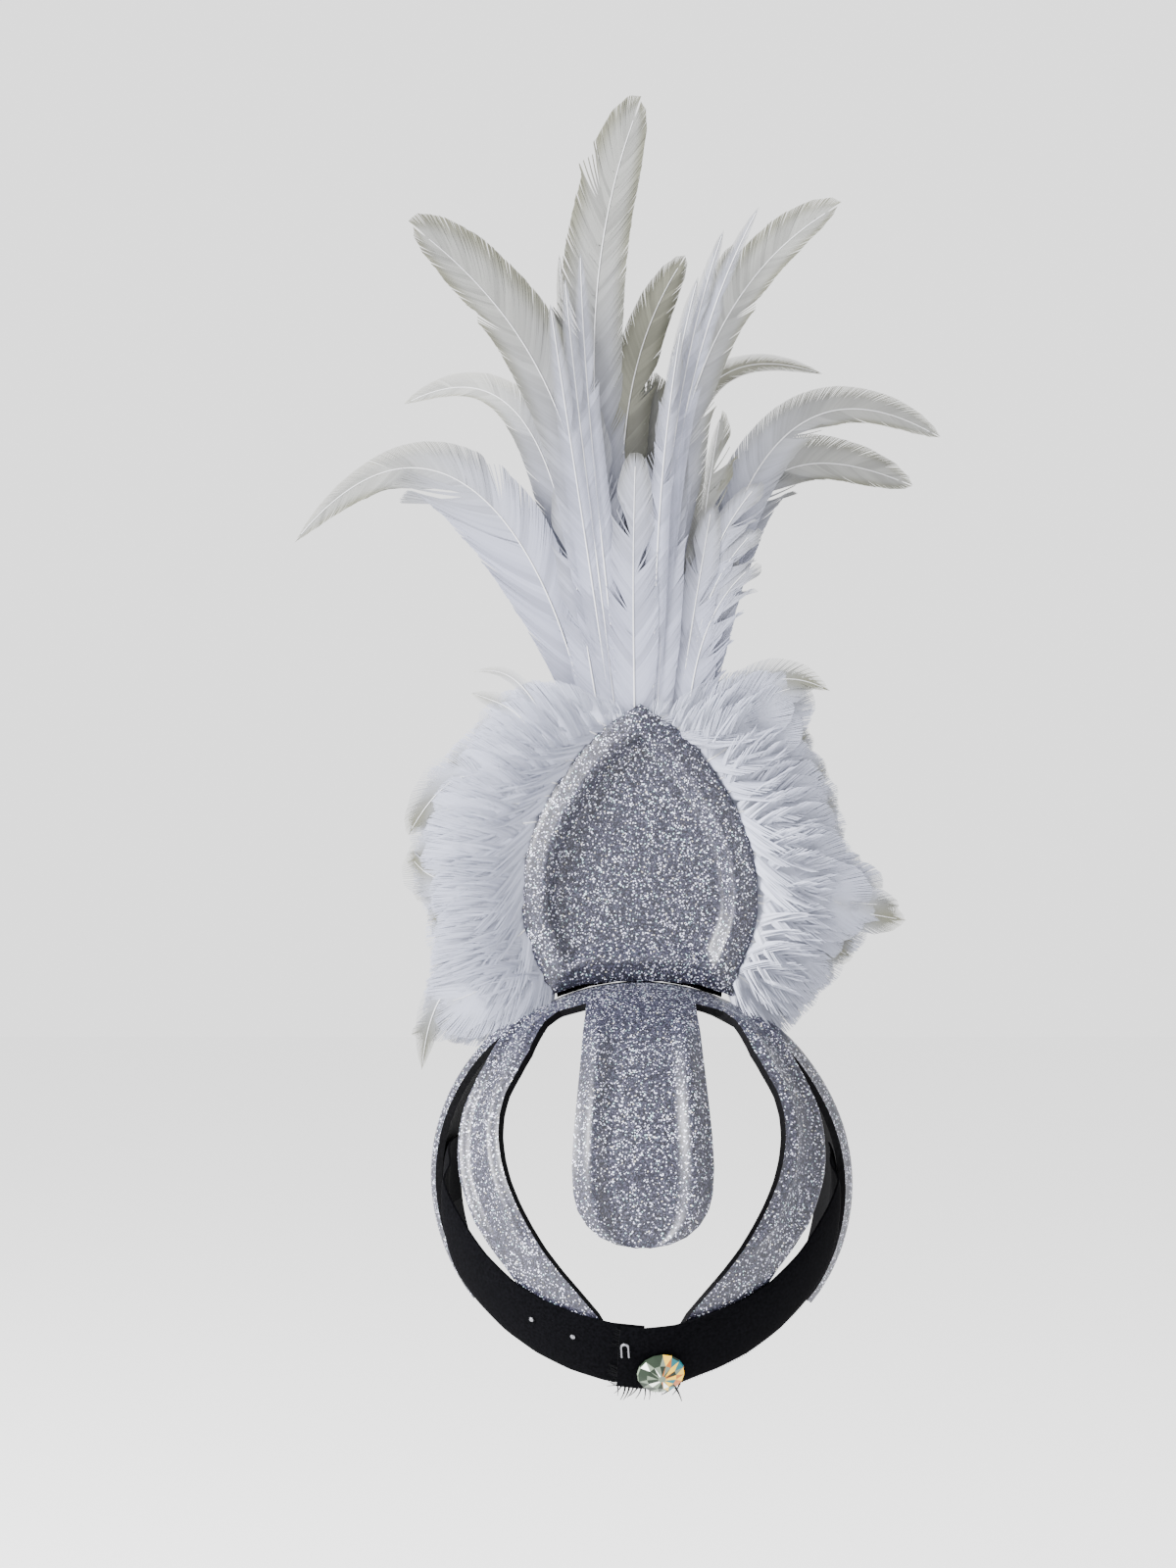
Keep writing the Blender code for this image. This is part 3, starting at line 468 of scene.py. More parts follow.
class Tree:
    """Adds nodes to a tree and links them by their sockets' names or numbers."""

    def __init__(self, tree):
        self.tree = tree

    def add(self, kind, sockets=None, **settings):
        made = self.tree.nodes.new(kind)
        for name, value in settings.items():
            setattr(made, name, value)
        for name, value in (sockets or {}).items():
            self.feed(made.inputs[name], value)
        return made.outputs

    def feed(self, spot, value):
        if isinstance(value, bpy.types.NodeSocket):
            self.tree.links.new(value, spot)
        elif spot.type == "RGBA":
            spot.default_value = (*value, 1.0)
        else:
            spot.default_value = value

    def math(self, operation, a, b=0.0, c=0.0):
        return self.add("ShaderNodeMath", {0: a, 1: b, 2: c}, operation=operation)[0]

    def mix(self, share, first, second, kind="MIX"):
        return self.add("ShaderNodeMix", {"Factor": share, 6: first, 7: second},
                        data_type="RGBA", blend_type=kind)[2]

    def ramp(self, share, stops, kind="LINEAR"):
        colour = self.add("ShaderNodeValToRGB", {"Fac": share})["Color"]
        tones = colour.node.color_ramp
        tones.interpolation = kind
        while len(tones.elements) < len(stops):
            tones.elements.new(0.5)
        for mark, (place, tone) in zip(tones.elements, stops):
            mark.position = place
            mark.color = (*tone, 1.0)
        return colour

    def read(self, name):
        return self.add("GeometryNodeInputNamedAttribute", {"Name": name}, data_type="FLOAT")[0]

    def store(self, geometry, name, value):
        return self.add("GeometryNodeStoreNamedAttribute",
                        {"Geometry": geometry, "Name": name, "Value": value},
                        data_type="FLOAT", domain="POINT")[0]

    def random(self, low, high, seed, index):
        return self.add("FunctionNodeRandomValue", {2: low, 3: high, "Seed": seed, "ID": index},
                        data_type="FLOAT")[1]

    def paint(self, geometry, material):
        return self.add("GeometryNodeSetMaterial",
                        {"Geometry": geometry, "Material": material})[0]

    def join(self, *parts):
        joined = self.add("GeometryNodeJoinGeometry")[0]
        for part in parts:
            self.tree.links.new(part, joined.node.inputs[0])
        return joined


def new_material(name, colour, roughness, metallic=0.0, shine=0.5):
    """A material with its tree; the colour may be set later."""
    made = bpy.data.materials.new(name)
    made.use_nodes = True
    t = Tree(made.node_tree)
    shader = made.node_tree.nodes["Principled BSDF"].inputs
    for socket, value in (("Base Color", colour), ("Roughness", roughness),
                          ("Metallic", metallic), ("Specular IOR Level", shine)):
        t.feed(shader[socket], value)
    return made, t, shader


def plain_material(name, colour, roughness, metallic=0.0, grain=0.0, shine=0.5):
    """One colour, with a fine grain over it where one is given."""
    made, t, shader = new_material(name, colour, roughness, metallic, shine)
    if grain:
        place = t.add("ShaderNodeTexCoord")["Object"]
        noise = t.add("ShaderNodeTexNoise", {"Vector": place, "Scale": GRAIN_SCALE})["Fac"]
        tones = t.ramp(noise, ((GRAIN_FROM, [part * (1.0 - grain) for part in colour]),
                               (GRAIN_TO, [part * (1.0 + grain) for part in colour])))
        t.feed(shader["Base Color"], tones)
    return made


def glitter_material():
    """Flakes about half a millimetre wide; a random few are painted bright, as painted glints."""
    made, t, shader = new_material("glitter", (0.0, 0.0, 0.0), 0.45, metallic=0.1)
    place = t.add("ShaderNodeTexCoord")["Object"]
    flakes = t.add("ShaderNodeTexVoronoi", {"Vector": place, "Scale": FLAKE_SCALE})["Color"]
    split = t.add("ShaderNodeSeparateColor", {"Color": flakes})
    patches = t.add("ShaderNodeTexNoise",
                    {"Vector": place, "Scale": PATCH_SCALE, "Detail": PATCH_DETAIL})["Fac"]
    light = t.add("ShaderNodeMix", {"Factor": FLAKE_SHARE, "A": patches, "B": split["Red"]})[0]
    # Flake tone, with painted glints on the brightest flakes
    tones = t.ramp(light, GLITTER_TONES_AND_GLINTS, "CONSTANT")
    tints = t.ramp(split["Green"], GLITTER_TINTS, "CONSTANT")
    t.feed(shader["Base Color"], t.mix(1.0, tones, tints, "MULTIPLY"))
    return made


def vane_material(name, low, high, edge, end_alpha=1.0, streak=0.22, turns=(0.30, 0.85)):
    """Soft barbs: low on the feather, high on it, and at the barbs' ends where they differ."""
    made, t, shader = new_material(name, low, 0.55)

    def read(attribute, start, stop, low_end=0.0, high_end=1.0):
        given = t.add("ShaderNodeAttribute", attribute_name=attribute)["Fac"]
        return t.add("ShaderNodeMapRange",
                     {"Value": given, "From Min": start, "From Max": stop,
                      "To Min": low_end, "To Max": high_end},
                     interpolation_type="SMOOTHSTEP")["Result"]

    high_up = read("along", *turns)
    colour = t.mix(high_up, low, high)
    if edge:
        ends = t.math("MULTIPLY", high_up, read("out", EDGE_FROM, 1.0))
        colour = t.mix(ends, colour, edge)
    shade = read("shade", 0.0, 1.0, 1.0 - streak, 1.0 + streak)
    shaded = t.add("ShaderNodeVectorMath", {0: colour, "Scale": shade}, operation="SCALE")[0]
    t.feed(shader["Base Color"], shaded)
    if end_alpha < 1.0:
        t.feed(shader["Alpha"], read("out", CLEAR_FROM, 1.0, 1.0, end_alpha))
    return made


GLITTER = glitter_material()
FOAM_BLACK = plain_material("black_foam", (0.003, 0.003, 0.0035), 0.95, grain=0.4, shine=0.06)
VELVET = plain_material("velvet", (0.0015, 0.0015, 0.002), 1.0, grain=0.5, shine=0.02)
THREAD = plain_material("black_thread", (0.003, 0.003, 0.0035), 0.95, shine=0.04)
STEEL = plain_material("steel", (0.20, 0.20, 0.22), 0.3, metallic=1.0)
QUILL = plain_material("quill", (0.46, 0.46, 0.48), 0.5)
# The olive tone high up the vane is partly the feathers' own beige and partly painted shade of the
# thin, clear vane
TALL_VANE = vane_material("tall_vane", (0.205, 0.215, 0.285), (0.155, 0.157, 0.150),
                          (0.085, 0.085, 0.060))
# Painted shade: a darker copy of the tall vane for the feathers that stand behind the others
SHADED_VANE = vane_material("shaded_vane", (0.15, 0.15, 0.15), (0.125, 0.125, 0.095),
                          (0.065, 0.065, 0.045))
# The ruff's dark olive tips are partly the feathers' own tint and partly painted shade of their
# thin ends
RUFF_VANE = vane_material("ruff_vane", (0.29, 0.305, 0.385), (0.070, 0.070, 0.046), None,
                          end_alpha=0.9, streak=0.07, turns=(0.60, 1.0))
# Flat facet tones of the clear stone: partly its coating's own tints, partly painted reflections;
# the palest tone is a painted highlight
CRYSTAL_TINTS_AND_REFLECTIONS = [plain_material("crystal_" + name, colour, 0.08, shine=0.12) for name, colour in (
    ("clear", (0.12, 0.15, 0.11)), ("green", (0.012, 0.02, 0.012)),
    ("yellow", (0.70, 0.42, 0.02)), ("orange", (0.35, 0.10, 0.015)),
    ("teal", (0.015, 0.11, 0.13)), ("painted_highlight", (0.80, 0.84, 0.76)))]


# Geometry Nodes: barbs along shafts

BARB_INPUTS = (
    # name, kind, value
    ("Pitch", "NodeSocketFloat", BARB_PITCH),
    ("Barb Width", "NodeSocketFloat", 0.17),
    ("Sweep", "NodeSocketFloat", 1.05),
    ("Bend", "NodeSocketFloat", 0.40),
    ("Clump Length", "NodeSocketFloat", 0.0060),
    ("Clump Pull", "NodeSocketFloat", 0.015),
    ("Clump Swing", "NodeSocketFloat", 0.008),
    ("Spread", "NodeSocketFloat", 0.005),
    ("Lift", "NodeSocketFloat", 0.015),
    ("Length Change", "NodeSocketFloat", 0.012),
    ("Seed", "NodeSocketInt", 1),
    ("Barb Material", "NodeSocketMaterial", None),
    ("Shaft Material", "NodeSocketMaterial", None),
)


def barb_tree():
    """Barbs on both sides of every shaft, gathered in clumps, and the shafts themselves."""
    group = bpy.data.node_groups.new("barbs_on_shafts", "GeometryNodeTree")
    group.interface.new_socket("Geometry", in_out="INPUT", socket_type="NodeSocketGeometry")
    for name, kind, value in BARB_INPUTS:
        socket = group.interface.new_socket(name, in_out="INPUT", socket_type=kind)
        if value is not None:
            socket.default_value = value
    group.interface.new_socket("Geometry", in_out="OUTPUT", socket_type="NodeSocketGeometry")
    t = Tree(group)
    given = t.add("NodeGroupInput")
    shafts = t.add("GeometryNodeMeshToCurve", {"Mesh": given["Geometry"]})[0]

    # The barb: a narrow ribbon from the shaft out, swept and bent towards the tip
    grid = t.add("GeometryNodeMeshGrid", {"Size X": 1.0, "Size Y": 1.0,
                                          "Vertices X": BARB_SEGMENTS + 1, "Vertices Y": 2})
    spot = t.add("ShaderNodeSeparateXYZ", {0: t.add("GeometryNodeInputPosition")[0]})
    out = t.math("ADD", spot[0], 0.5)
    swept = t.math("MULTIPLY_ADD", t.math("MULTIPLY", out, given["Bend"]), out,
                   t.math("MULTIPLY", out, given["Sweep"]))
    slim = t.math("MULTIPLY", t.math("MULTIPLY_ADD", out, -BARB_TAPER_SHARE, 1.0),
                  given["Barb Width"])
    high = t.math("MULTIPLY_ADD", spot[1], slim, swept)
    barb = t.store(grid["Mesh"], "out", out)
    moved = t.add("ShaderNodeCombineXYZ", {0: out, 1: high})[0]
    barb = t.add("GeometryNodeSetPosition", {"Geometry": barb, "Position": moved})[0]

    # Points along every shaft, with the length run stored on them
    fine = t.add("GeometryNodeResampleCurve", {"Curve": shafts, "Length": given["Pitch"]},
                 mode="LENGTH")[0]
    fine = t.store(fine, "run", t.add("GeometryNodeSplineParameter")["Length"])
    points = t.add("GeometryNodeCurveToPoints", {"Curve": fine}, mode="EVALUATED")
    index = t.add("GeometryNodeInputIndex")[0]
    whole = t.add("FunctionNodeAxesToRotation", {0: points["Tangent"], 1: (0.0, -1.0, 0.0)},
                  primary_axis="Y", secondary_axis="Z")[0]
    sides = []
    for number, (hand, way) in enumerate((("left", -1.0), ("right", 1.0))):
        seed = t.math("ADD", given["Seed"], SEED_STEP_BY_SIDE * (number + 1))
        clumps = t.math("DIVIDE", t.read("run"), given["Clump Length"])
        wander = t.add("ShaderNodeTexNoise",
                       {"W": clumps, "Scale": CLUMP_WANDER_SCALE, "Detail": 1.0},
                       noise_dimensions="1D")[0]
        shift = t.math("MULTIPLY_ADD", t.read("shaft"), CLUMP_SHIFT_BY_SHAFT,
                       CLUMP_SHIFT_BY_SIDE * number)
        clumps = t.math("ADD", t.math("MULTIPLY_ADD", wander, CLUMP_WANDER, clumps), shift)
        clump = t.math("FLOOR", clumps)
        within = t.math("SUBTRACT", t.math("SUBTRACT", clumps, clump), 0.5)
        own = t.random(-1.0, 1.0, t.math("ADD", seed, 1.0), clump)
        size = t.random(0.0, 1.0, t.math("ADD", seed, 2.0), clump)
        apart = t.random(-1.0, 1.0, t.math("ADD", seed, 3.0), index)
        swing = t.math("MULTIPLY", own, given["Clump Swing"])
        swing = t.math("MULTIPLY_ADD", apart, given["Spread"], swing)
        swing = t.math("SUBTRACT", swing, t.math("MULTIPLY", within, given["Clump Pull"]))
        swing = t.math("ADD", swing, t.read("swing_" + hand))
        rise = t.random(-1.0, 1.0, t.math("ADD", seed, 4.0), index)
        rise = t.math("MULTIPLY", rise, given["Lift"])
        lean = t.add("ShaderNodeCombineXYZ", {1: rise, 2: t.math("MULTIPLY", swing, way)})[0]
        lean = t.add("FunctionNodeEulerToRotation", {0: lean})[0]
        turn = t.add("FunctionNodeRotateRotation", {0: whole, 1: lean}, rotation_space="LOCAL")[0]
        change = t.math("MULTIPLY", t.math("SUBTRACT", size, CLUMP_SIZE_MIDDLE),
                        given["Length Change"])
        reach = t.math("MULTIPLY", t.math("ADD", change, 1.0), t.read("reach_" + hand))
        scale = t.add("ShaderNodeCombineXYZ", {0: t.math("MULTIPLY", reach, way), 1: reach,
                                               2: reach})[0]
        shade = t.math("MULTIPLY_ADD", apart, SHADE_BY_BARB, SHADE_MIDDLE)
        shade = t.math("MULTIPLY_ADD", own, SHADE_BY_CLUMP, shade)
        sides.append(t.add("GeometryNodeInstanceOnPoints",
                           {"Points": t.store(points["Points"], "shade", shade),
                            "Instance": barb, "Rotation": turn, "Scale": scale})[0])
    barbs = t.add("GeometryNodeRealizeInstances", {"Geometry": t.join(*sides)})[0]
    barbs = t.paint(barbs, given["Barb Material"])
    ring = t.add("GeometryNodeCurvePrimitiveCircle", {"Resolution": SHAFT_SIDES, "Radius": 1.0})[0]
    thick = t.add("GeometryNodeSetCurveRadius", {"Curve": shafts, "Radius": t.read("thick")})[0]
    tube = t.add("GeometryNodeCurveToMesh", {"Curve": thick, "Profile Curve": ring,
                                             "Scale": t.read("thick"), "Fill Caps": True})[0]
    tube = t.paint(tube, given["Shaft Material"])
    t.add("NodeGroupOutput", {"Geometry": t.join(tube, barbs)})
    return group


BARBS = barb_tree()


def feathered(name, shafts, barb_material, shaft_material, **changes):
    """Shafts are lists of (point, left reach, right reach, left and right swing towards
    the tip, thickness, share along)."""
    points, edges = [], []
    columns = {"reach_left": [], "reach_right": [], "swing_left": [], "swing_right": [],
               "thick": [], "along": [], "shaft": []}
    for number, shaft in enumerate(shafts):
        for place, (point, *values) in enumerate(shaft):
            if place:
                edges.append((len(points) - 1, len(points)))
            points.append(tuple(point))
            for key, value in zip(columns, (*values, number)):
                columns[key].append(float(value))
    mesh = bpy.data.meshes.new(name + "_shafts")
    mesh.from_pydata(points, edges, [])
    for key, values in columns.items():
        mesh.attributes.new(key, "FLOAT", "POINT").data.foreach_set("value", values)
    source = bpy.data.objects.new(name + "_shafts", mesh)
    bpy.context.scene.collection.objects.link(source)
    modifier = source.modifiers.new("barbs", "NODES")
    modifier.node_group = BARBS
    changes["Barb Material"] = barb_material
    changes["Shaft Material"] = shaft_material
    named = {item.name: item.identifier for item in BARBS.interface.items_tree
             if item.in_out == "INPUT"}
    for key, value in changes.items():
        modifier[named[key.replace("_", " ")]] = value
    seen = bpy.context.evaluated_depsgraph_get()
    seen.update()
    result = bpy.data.meshes.new_from_object(source.evaluated_get(seen), depsgraph=seen)
    bpy.data.objects.remove(source, do_unlink=True)
    result.name = name
    made = bpy.data.objects.new(name, result)
    bpy.context.scene.collection.objects.link(made)
    return made


def on_root(made, slot, *nodes):
    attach(made, "root")
    if nodes:
        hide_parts(*nodes)
    return made


# Head form, as the cap frame follows it

def head_form(around, down):
    """A point of the hollow: degrees round from -Y towards +X, degrees down from the crown."""
    turn, drop = math.radians(around), math.radians(down)
    if down <= 90.0:
        across = depth = math.sin(drop)
        height = HEAD_DROP * (math.cos(drop) - 1.0)
    else:
        past = drop - math.pi / 2
        across = 1.0 - DRAW_IN_ACROSS_SHARE * past ** 2
        depth = 1.0 - DRAW_IN_DEPTH_SHARE * past ** 2
        height = -HEAD_DROP * (1.0 + past)
    return Vector((HEAD_HALF_WIDTH * across * math.sin(turn),
                   -HEAD_HALF_DEPTH * depth * math.cos(turn), height))


def head_normal(around, down):
    if down == 0.0:
        return Vector((0.0, 0.0, 1.0))
    step = 0.01
    along = head_form(around + step, down) - head_form(around - step, down)
    below = head_form(around, down + step) - head_form(around, down - step)
    return below.cross(along).normalized()


def on_head(around, down, out):
    return head_form(around, down) + head_normal(around, down) * out


def crown_top(across, depth):
    """Height of the frame's outer face over a place near the crown."""
    wide, deep = HEAD_HALF_WIDTH + FOAM, HEAD_HALF_DEPTH + FOAM
    left = 1.0 - (across / wide) ** 2 - (depth / deep) ** 2
    return (HEAD_DROP + FOAM) * math.sqrt(left) - HEAD_DROP


# Cap frame

def tongue_edge(down):
    ring = (HEAD_HALF_WIDTH + FOAM) * math.sin(math.radians(down))
    half = TONGUE_HALF_WIDTH * between(TONGUE_ROWS, down)
    return math.degrees(math.asin(min(half / ring, 1.0)))


def band_far(down):
    ring = HEAD_HALF_DEPTH * math.sin(math.radians(down))
    return 90.0 + math.degrees(math.asin(min(BAND_DEPTH / ring, 1.0)))


def relief_share(down, fade_from=None):
    """Relief grows out of the crown and dies away again from fade_from on."""
    grown = ease((down - RELIEF_FROM_DEGREES) / RELIEF_RUN_DEGREES)
    if fade_from is None:
        return grown
    return grown * (1.0 - ease((down - fade_from) / FADE_RUN_DEGREES))


class FrameSheet:
    """Collects the frame's places, shared where two strips meet, and its faces."""

    def __init__(self):
        self.places = {}
        self.front = []
        self.back = []
        self.faces = []

    def place(self, around, down, raised):
        key = (round(down, 3), round(around % 360.0, 3) if down else 0.0)
        if key not in self.places:
            self.places[key] = len(self.front)
            self.front.append(on_head(around, down, FOAM + raised))
            self.back.append(on_head(around, down, 0.0))
        return self.places[key]

    def strip(self, rows, profile):
        """Rows of (down, from, to, share of relief), crossed by the profile's columns."""
        knots = [share for share, height in profile]
        shares = []
        for low, high in zip(knots, knots[1:]):
            shares += [low + (high - low) * n / PROFILE_STEPS for n in range(PROFILE_STEPS)]
        shares.append(1.0)
        lines = []
        for down, start, end, relief in rows:
            lines.append([self.place(start * (1.0 - share) + end * share, down,
                                     RELIEF * between(profile, share, 1, True) * relief)
                          for share in shares])
        for upper, lower in zip(lines, lines[1:]):
            for left in range(len(shares) - 1):
                face = [upper[left], upper[left + 1], lower[left + 1], lower[left]]
                face = [spot for n, spot in enumerate(face) if spot not in face[:n]]
                if len(face) > 2:
                    self.faces.append(face)


def facing_out(points, faces, middle):
    """The faces, turned so that they look away from the middle."""
    turned = []
    for face in faces:
        a, b, c = (points[face[n]] for n in (0, 1, 2))
        away = (b - a).cross(c - a).dot(a - middle)
        turned.append(face if away > 0.0 else list(reversed(face)))
    return turned


def make_frame():
    sheet = FrameSheet()
    rings = finer((0.0, CROWN_EDGE_DEGREES), CROWN_STEP_DEGREES)
    root = tongue_edge(CROWN_EDGE_DEGREES)

    def add_strip(side, knots, profile, start, fade_from=None):
        """A strip's part on the closed crown, which starts at an angle, and its rows below."""
        edge = knots[0]
        sheet.strip([(down, side * start, side * edge[2], 0.0) for down in rings], profile)
        downs = finer([knot[0] for knot in knots], ROW_STEP_DEGREES)
        sheet.strip([(down, side * between(knots, down, 1), side * between(knots, down, 2),
                      relief_share(down, fade_from)) for down in downs], profile)

    downs = finer([row[0] for row in TONGUE_ROWS], ROW_STEP_DEGREES)
    sheet.strip([(down, -root, root, 0.0) for down in rings], TONGUE_PROFILE)
    sheet.strip([(down, -tongue_edge(down), tongue_edge(down),
                  relief_share(down, TONGUE_FADE_DEGREES)) for down in downs], TONGUE_PROFILE)
    for side, swing in ((-1.0, SWING_LEFT_DEGREES), (1.0, SWING_RIGHT_DEGREES)):
        arm = ((CROWN_EDGE_DEGREES, root, ROOT_OUTER),) + ARM_ROWS
        add_strip(side, arm, ARM_PROFILE, root, ARM_FADE_DEGREES)
        band = [(CROWN_EDGE_DEGREES, ROOT_OUTER, 180.0)]
        for down, near, share in BAND_ROWS:
            moved = near + swing * ease((down - SLIT_START) / SWING_RUN_DEGREES)
            far = band_far(down)
            spare = (far - moved) * (1.0 - share) / 2.0
            band.append((down, moved + spare, far - spare))
        add_strip(side, band, BAND_PROFILE, ROOT_OUTER)
    faces = facing_out(sheet.front, sheet.faces, Vector((0.0, 0.0, -HEAD_DROP)))
    made = thick_sheet("cap_frame", sheet.front, sheet.back, faces, (GLITTER, FOAM_BLACK))
    return on_root(made, "glitter", "crown_frame")


# Crest plate

def plate_foot():
    return crown_top(0.0, PLATE_BACK) + CLEARANCE


def plate_side():
    foot = plate_foot()
    corner = foot - PLATE_ARCH_SHARE * PLATE_HEIGHT
    points = [(side, foot - drop * PLATE_HEIGHT) for side, drop in PLATE_FOOT]
    points += [(side, corner + up * PLATE_HEIGHT) for side, up in PLATE_SIDE]
    points.append((0.0, corner + PLATE_HEIGHT))
    return [(side * PLATE_HALF_WIDTH, height) for side, height in points]


def plate_outline():
    right = plate_side()
    return right + [(-across, height) for across, height in reversed(right[1:-1])]


def plate_middle():
    return Vector((0.0, plate_foot() + PLATE_MIDDLE_SHARE * PLATE_HEIGHT))


def inset_outline(outline, inset):
    """The outline drawn in towards the plate's middle, with its corners mitred."""
    middle = plate_middle()
    moved = []
    count = len(outline)
    for index in range(count):
        here = Vector(outline[index])
        before = (here - Vector(outline[index - 1])).normalized()
        after = (Vector(outline[(index + 1) % count]) - here).normalized()
        inward = Vector((-before.y - after.y, before.x + after.x)).normalized()
        ray = (middle - here).normalized()
        slant = inward.dot(Vector((-before.y, before.x))) * inward.dot(ray)
        moved.append(tuple(here + ray * (inset / slant)))
    return moved


def evenly(line, steps):
    """A closed line with each side cut into steps."""
    made = []
    for start, end in zip(line, line[1:] + line[:1]):
        made += [tuple(Vector(start).lerp(Vector(end), n / steps)) for n in range(steps)]
    return made


def make_plate():
    outline = plate_outline()
    face = PLATE_BACK - PLATE_FOAM
    insets = finer(PLATE_RINGS, PLATE_RING_STEP)
    front, back, faces = [], [], []
    for inset in insets:
        ring = evenly(inset_outline(outline, inset * PLATE_RIDGE_INSET), PLATE_SIDE_STEPS)
        high = between(PLATE_PROFILE, inset)
        for across, up in ring:
            front.append(Vector((across, face - high * PLATE_RELIEF, up)))
            back.append(Vector((across, PLATE_BACK, up)))
    count = len(ring)
    for level in range(len(insets) - 1):
        for index in range(count):
            after = (index + 1) % count
            low, high = level * count, (level + 1) * count
            faces.append([low + index, low + after, high + after, high + index])
    middle = plate_middle().y
    front.append(Vector((0.0, face, middle)))
    back.append(Vector((0.0, PLATE_BACK, middle)))
    last = (len(insets) - 1) * count
    faces += [[last + index, last + (index + 1) % count, len(front) - 1]
              for index in range(count)]
    faces = facing_out(front, faces, Vector((0.0, 1.0, middle)))
    made = thick_sheet("spade_plate", front, back, faces, (GLITTER, FOAM_BLACK))
    return on_root(made, "glitter", "crest_plate")


# Tall feathers

def layer_place(layer):
    first = PLATE_BACK + CLEARANCE + RUFF_THICKNESS + CLEARANCE + SHAFT_FRONT
    return first + layer * PLUME_PITCH


def bezier(points, share):
    rest = 1.0 - share
    weights = (rest ** 3, 3 * rest ** 2 * share, 3 * rest * share ** 2, share ** 3)
    return sum((point * weight for point, weight in zip(points, weights)), Vector((0.0, 0.0)))


def bent_line(start, end, root_lean, tip_lean, bow):
    """A curve's four points; it leaves and arrives at angles, in degrees from upright."""
    reach = (end - start).length * bow
    lean, finish = math.radians(root_lean), math.radians(tip_lean)
    first = start + Vector((math.sin(lean), math.cos(lean))) * reach
    second = end - Vector((math.sin(finish), math.cos(finish))) * reach
    return start, first, second, end


def split_swing(name, side, share):
    """The vane above a split swings to the tip and the vane below it falls back."""
    swing = 0.0
    for feather, hand, at, run, turn in SPLITS:
        if feather == name and hand == side:
            away = (share - at) / run
            if 0.0 <= away < 1.0:
                swing += turn * (1.0 - away) ** 2
            elif -1.0 < away < 0.0:
                swing -= turn * SPLIT_BACK_SHARE * (1.0 + away) ** 2
    return swing


def feather_shaft(name, seat, place, root, root_lean, tip_side, tip_rise, tip_lean,
                  bow, left, right, curl, point=0.0, dulled=1.0):
    """One shaft, from its seat behind the plate out to its place and its curl. Point says how
    much its vane narrows, and dulled how far it turns to the tall feathers' dull tips."""
    start, end = (Vector((side * PLUME_LENGTH, PLUME_ROOT_HEIGHT + rise * PLUME_LENGTH))
                  for side, rise in ((root, 0.0), (tip_side, tip_rise)))
    line = bent_line(start, end, root_lean, tip_lean, bow)
    shaft = []
    for step in range(SHAFT_STEPS + 1):
        share = step / SHAFT_STEPS
        reached = share * SHAFT_END_SHARE
        here = bezier(line, reached)
        depth = place + curl * PLUME_LENGTH * reached ** CURL_POWER
        depth = seat + (depth - seat) * ease(reached / SEAT_SHARE)
        reach = between(VANE_SHAPE, share) * PLUME_LENGTH
        reach *= 1.0 - point * ease((share - POINT_FROM_SHARE) / (1.0 - POINT_FROM_SHARE))
        thick = SHAFT_RADIUS + (SHAFT_TIP_RADIUS - SHAFT_RADIUS) * share ** SHAFT_TAPER_POWER
        tipward = between(VANE_SHAPE, share, 2)
        shaft.append((Vector((here.x, depth, here.y)), left * reach, right * reach,
                      tipward + split_swing(name, -1, share),
                      tipward + split_swing(name, 1, share), thick, share * dulled))
    return shaft


def make_tall_feather(number, name, layer, *line):
    front_seat = PLATE_BACK + CLEARANCE + SHAFT_FRONT
    seat = front_seat if layer < FRONT_LAYERS else layer_place(LAYERS - 1)
    shafts = [feather_shaft(name, seat, layer_place(layer), *line, POINTED.get(name, 0.0))]
    for order, row in enumerate(FRONT_FEATHERS.get(name, ())):
        place = layer_place(0) - (order + 2) * FRONT_PITCH
        shafts.append(feather_shaft(name, front_seat, place, *row, FRONT_POINT, FRONT_DULLED))
    # Feathers behind the others take the vane with painted shade
    vane = SHADED_VANE if name in SHADED_FEATHERS else TALL_VANE
    made = feathered("feather_" + name, shafts, vane, QUILL,
                     Seed=number * SEED_STEP + FIRST_SEED)
    return on_root(made, "feather", "plume_" + name)


# Ruff

def along_line(points, share):
    lengths = [(Vector(b) - Vector(a)).length for a, b in zip(points, points[1:])]
    left = share * sum(lengths)
    for (a, b), length in zip(zip(points, points[1:]), lengths):
        if left <= length:
            return Vector(a).lerp(Vector(b), left / length)
        left -= length
    return Vector(points[-1])


def ruff_spot(here, depth, share, width, colour_from, reach=1.0):
    """One place on a ruff feather's shaft, with all that its barbs need there."""
    wide = between(RUFF_VANE_SHAPE, share) * RUFF_VANE_WIDTH * width
    tipward = between(RUFF_VANE_SHAPE, share, 2)
    thick = RUFF_QUILL * (1.0 - RUFF_QUILL_TAPER_SHARE * share)
    along = risen(colour_from, share * reach)
    place = Vector((here.x, PLATE_BACK + CLEARANCE + RUFF_THICKNESS / 2.0 + depth, here.y))
    return place, wide, wide, tipward, tipward, thick, along


def claw_shaft(side, root_side, root_rise, root_lean, tip_side, tip_rise, tip_lean, width):
    """One curling feather, in the ruff's own shares of its spread and the plate's height."""
    start, end = (Vector((side * out * RUFF_SPREAD, plate_foot() + rise * PLATE_HEIGHT))
                  for out, rise in ((root_side, root_rise), (tip_side, tip_rise)))
    line = bent_line(start, end, side * root_lean, side * tip_lean, CLAW_BOW)
    shares = [step / (2 * RUFF_STEPS) for step in range(2 * RUFF_STEPS + 1)]
    return [ruff_spot(bezier(line, share), CLAW_BACK * share, share,
                      width * (1.0 - CLAW_TAPER_SHARE * share), CLAW_COLOUR_FROM)
            for share in shares]


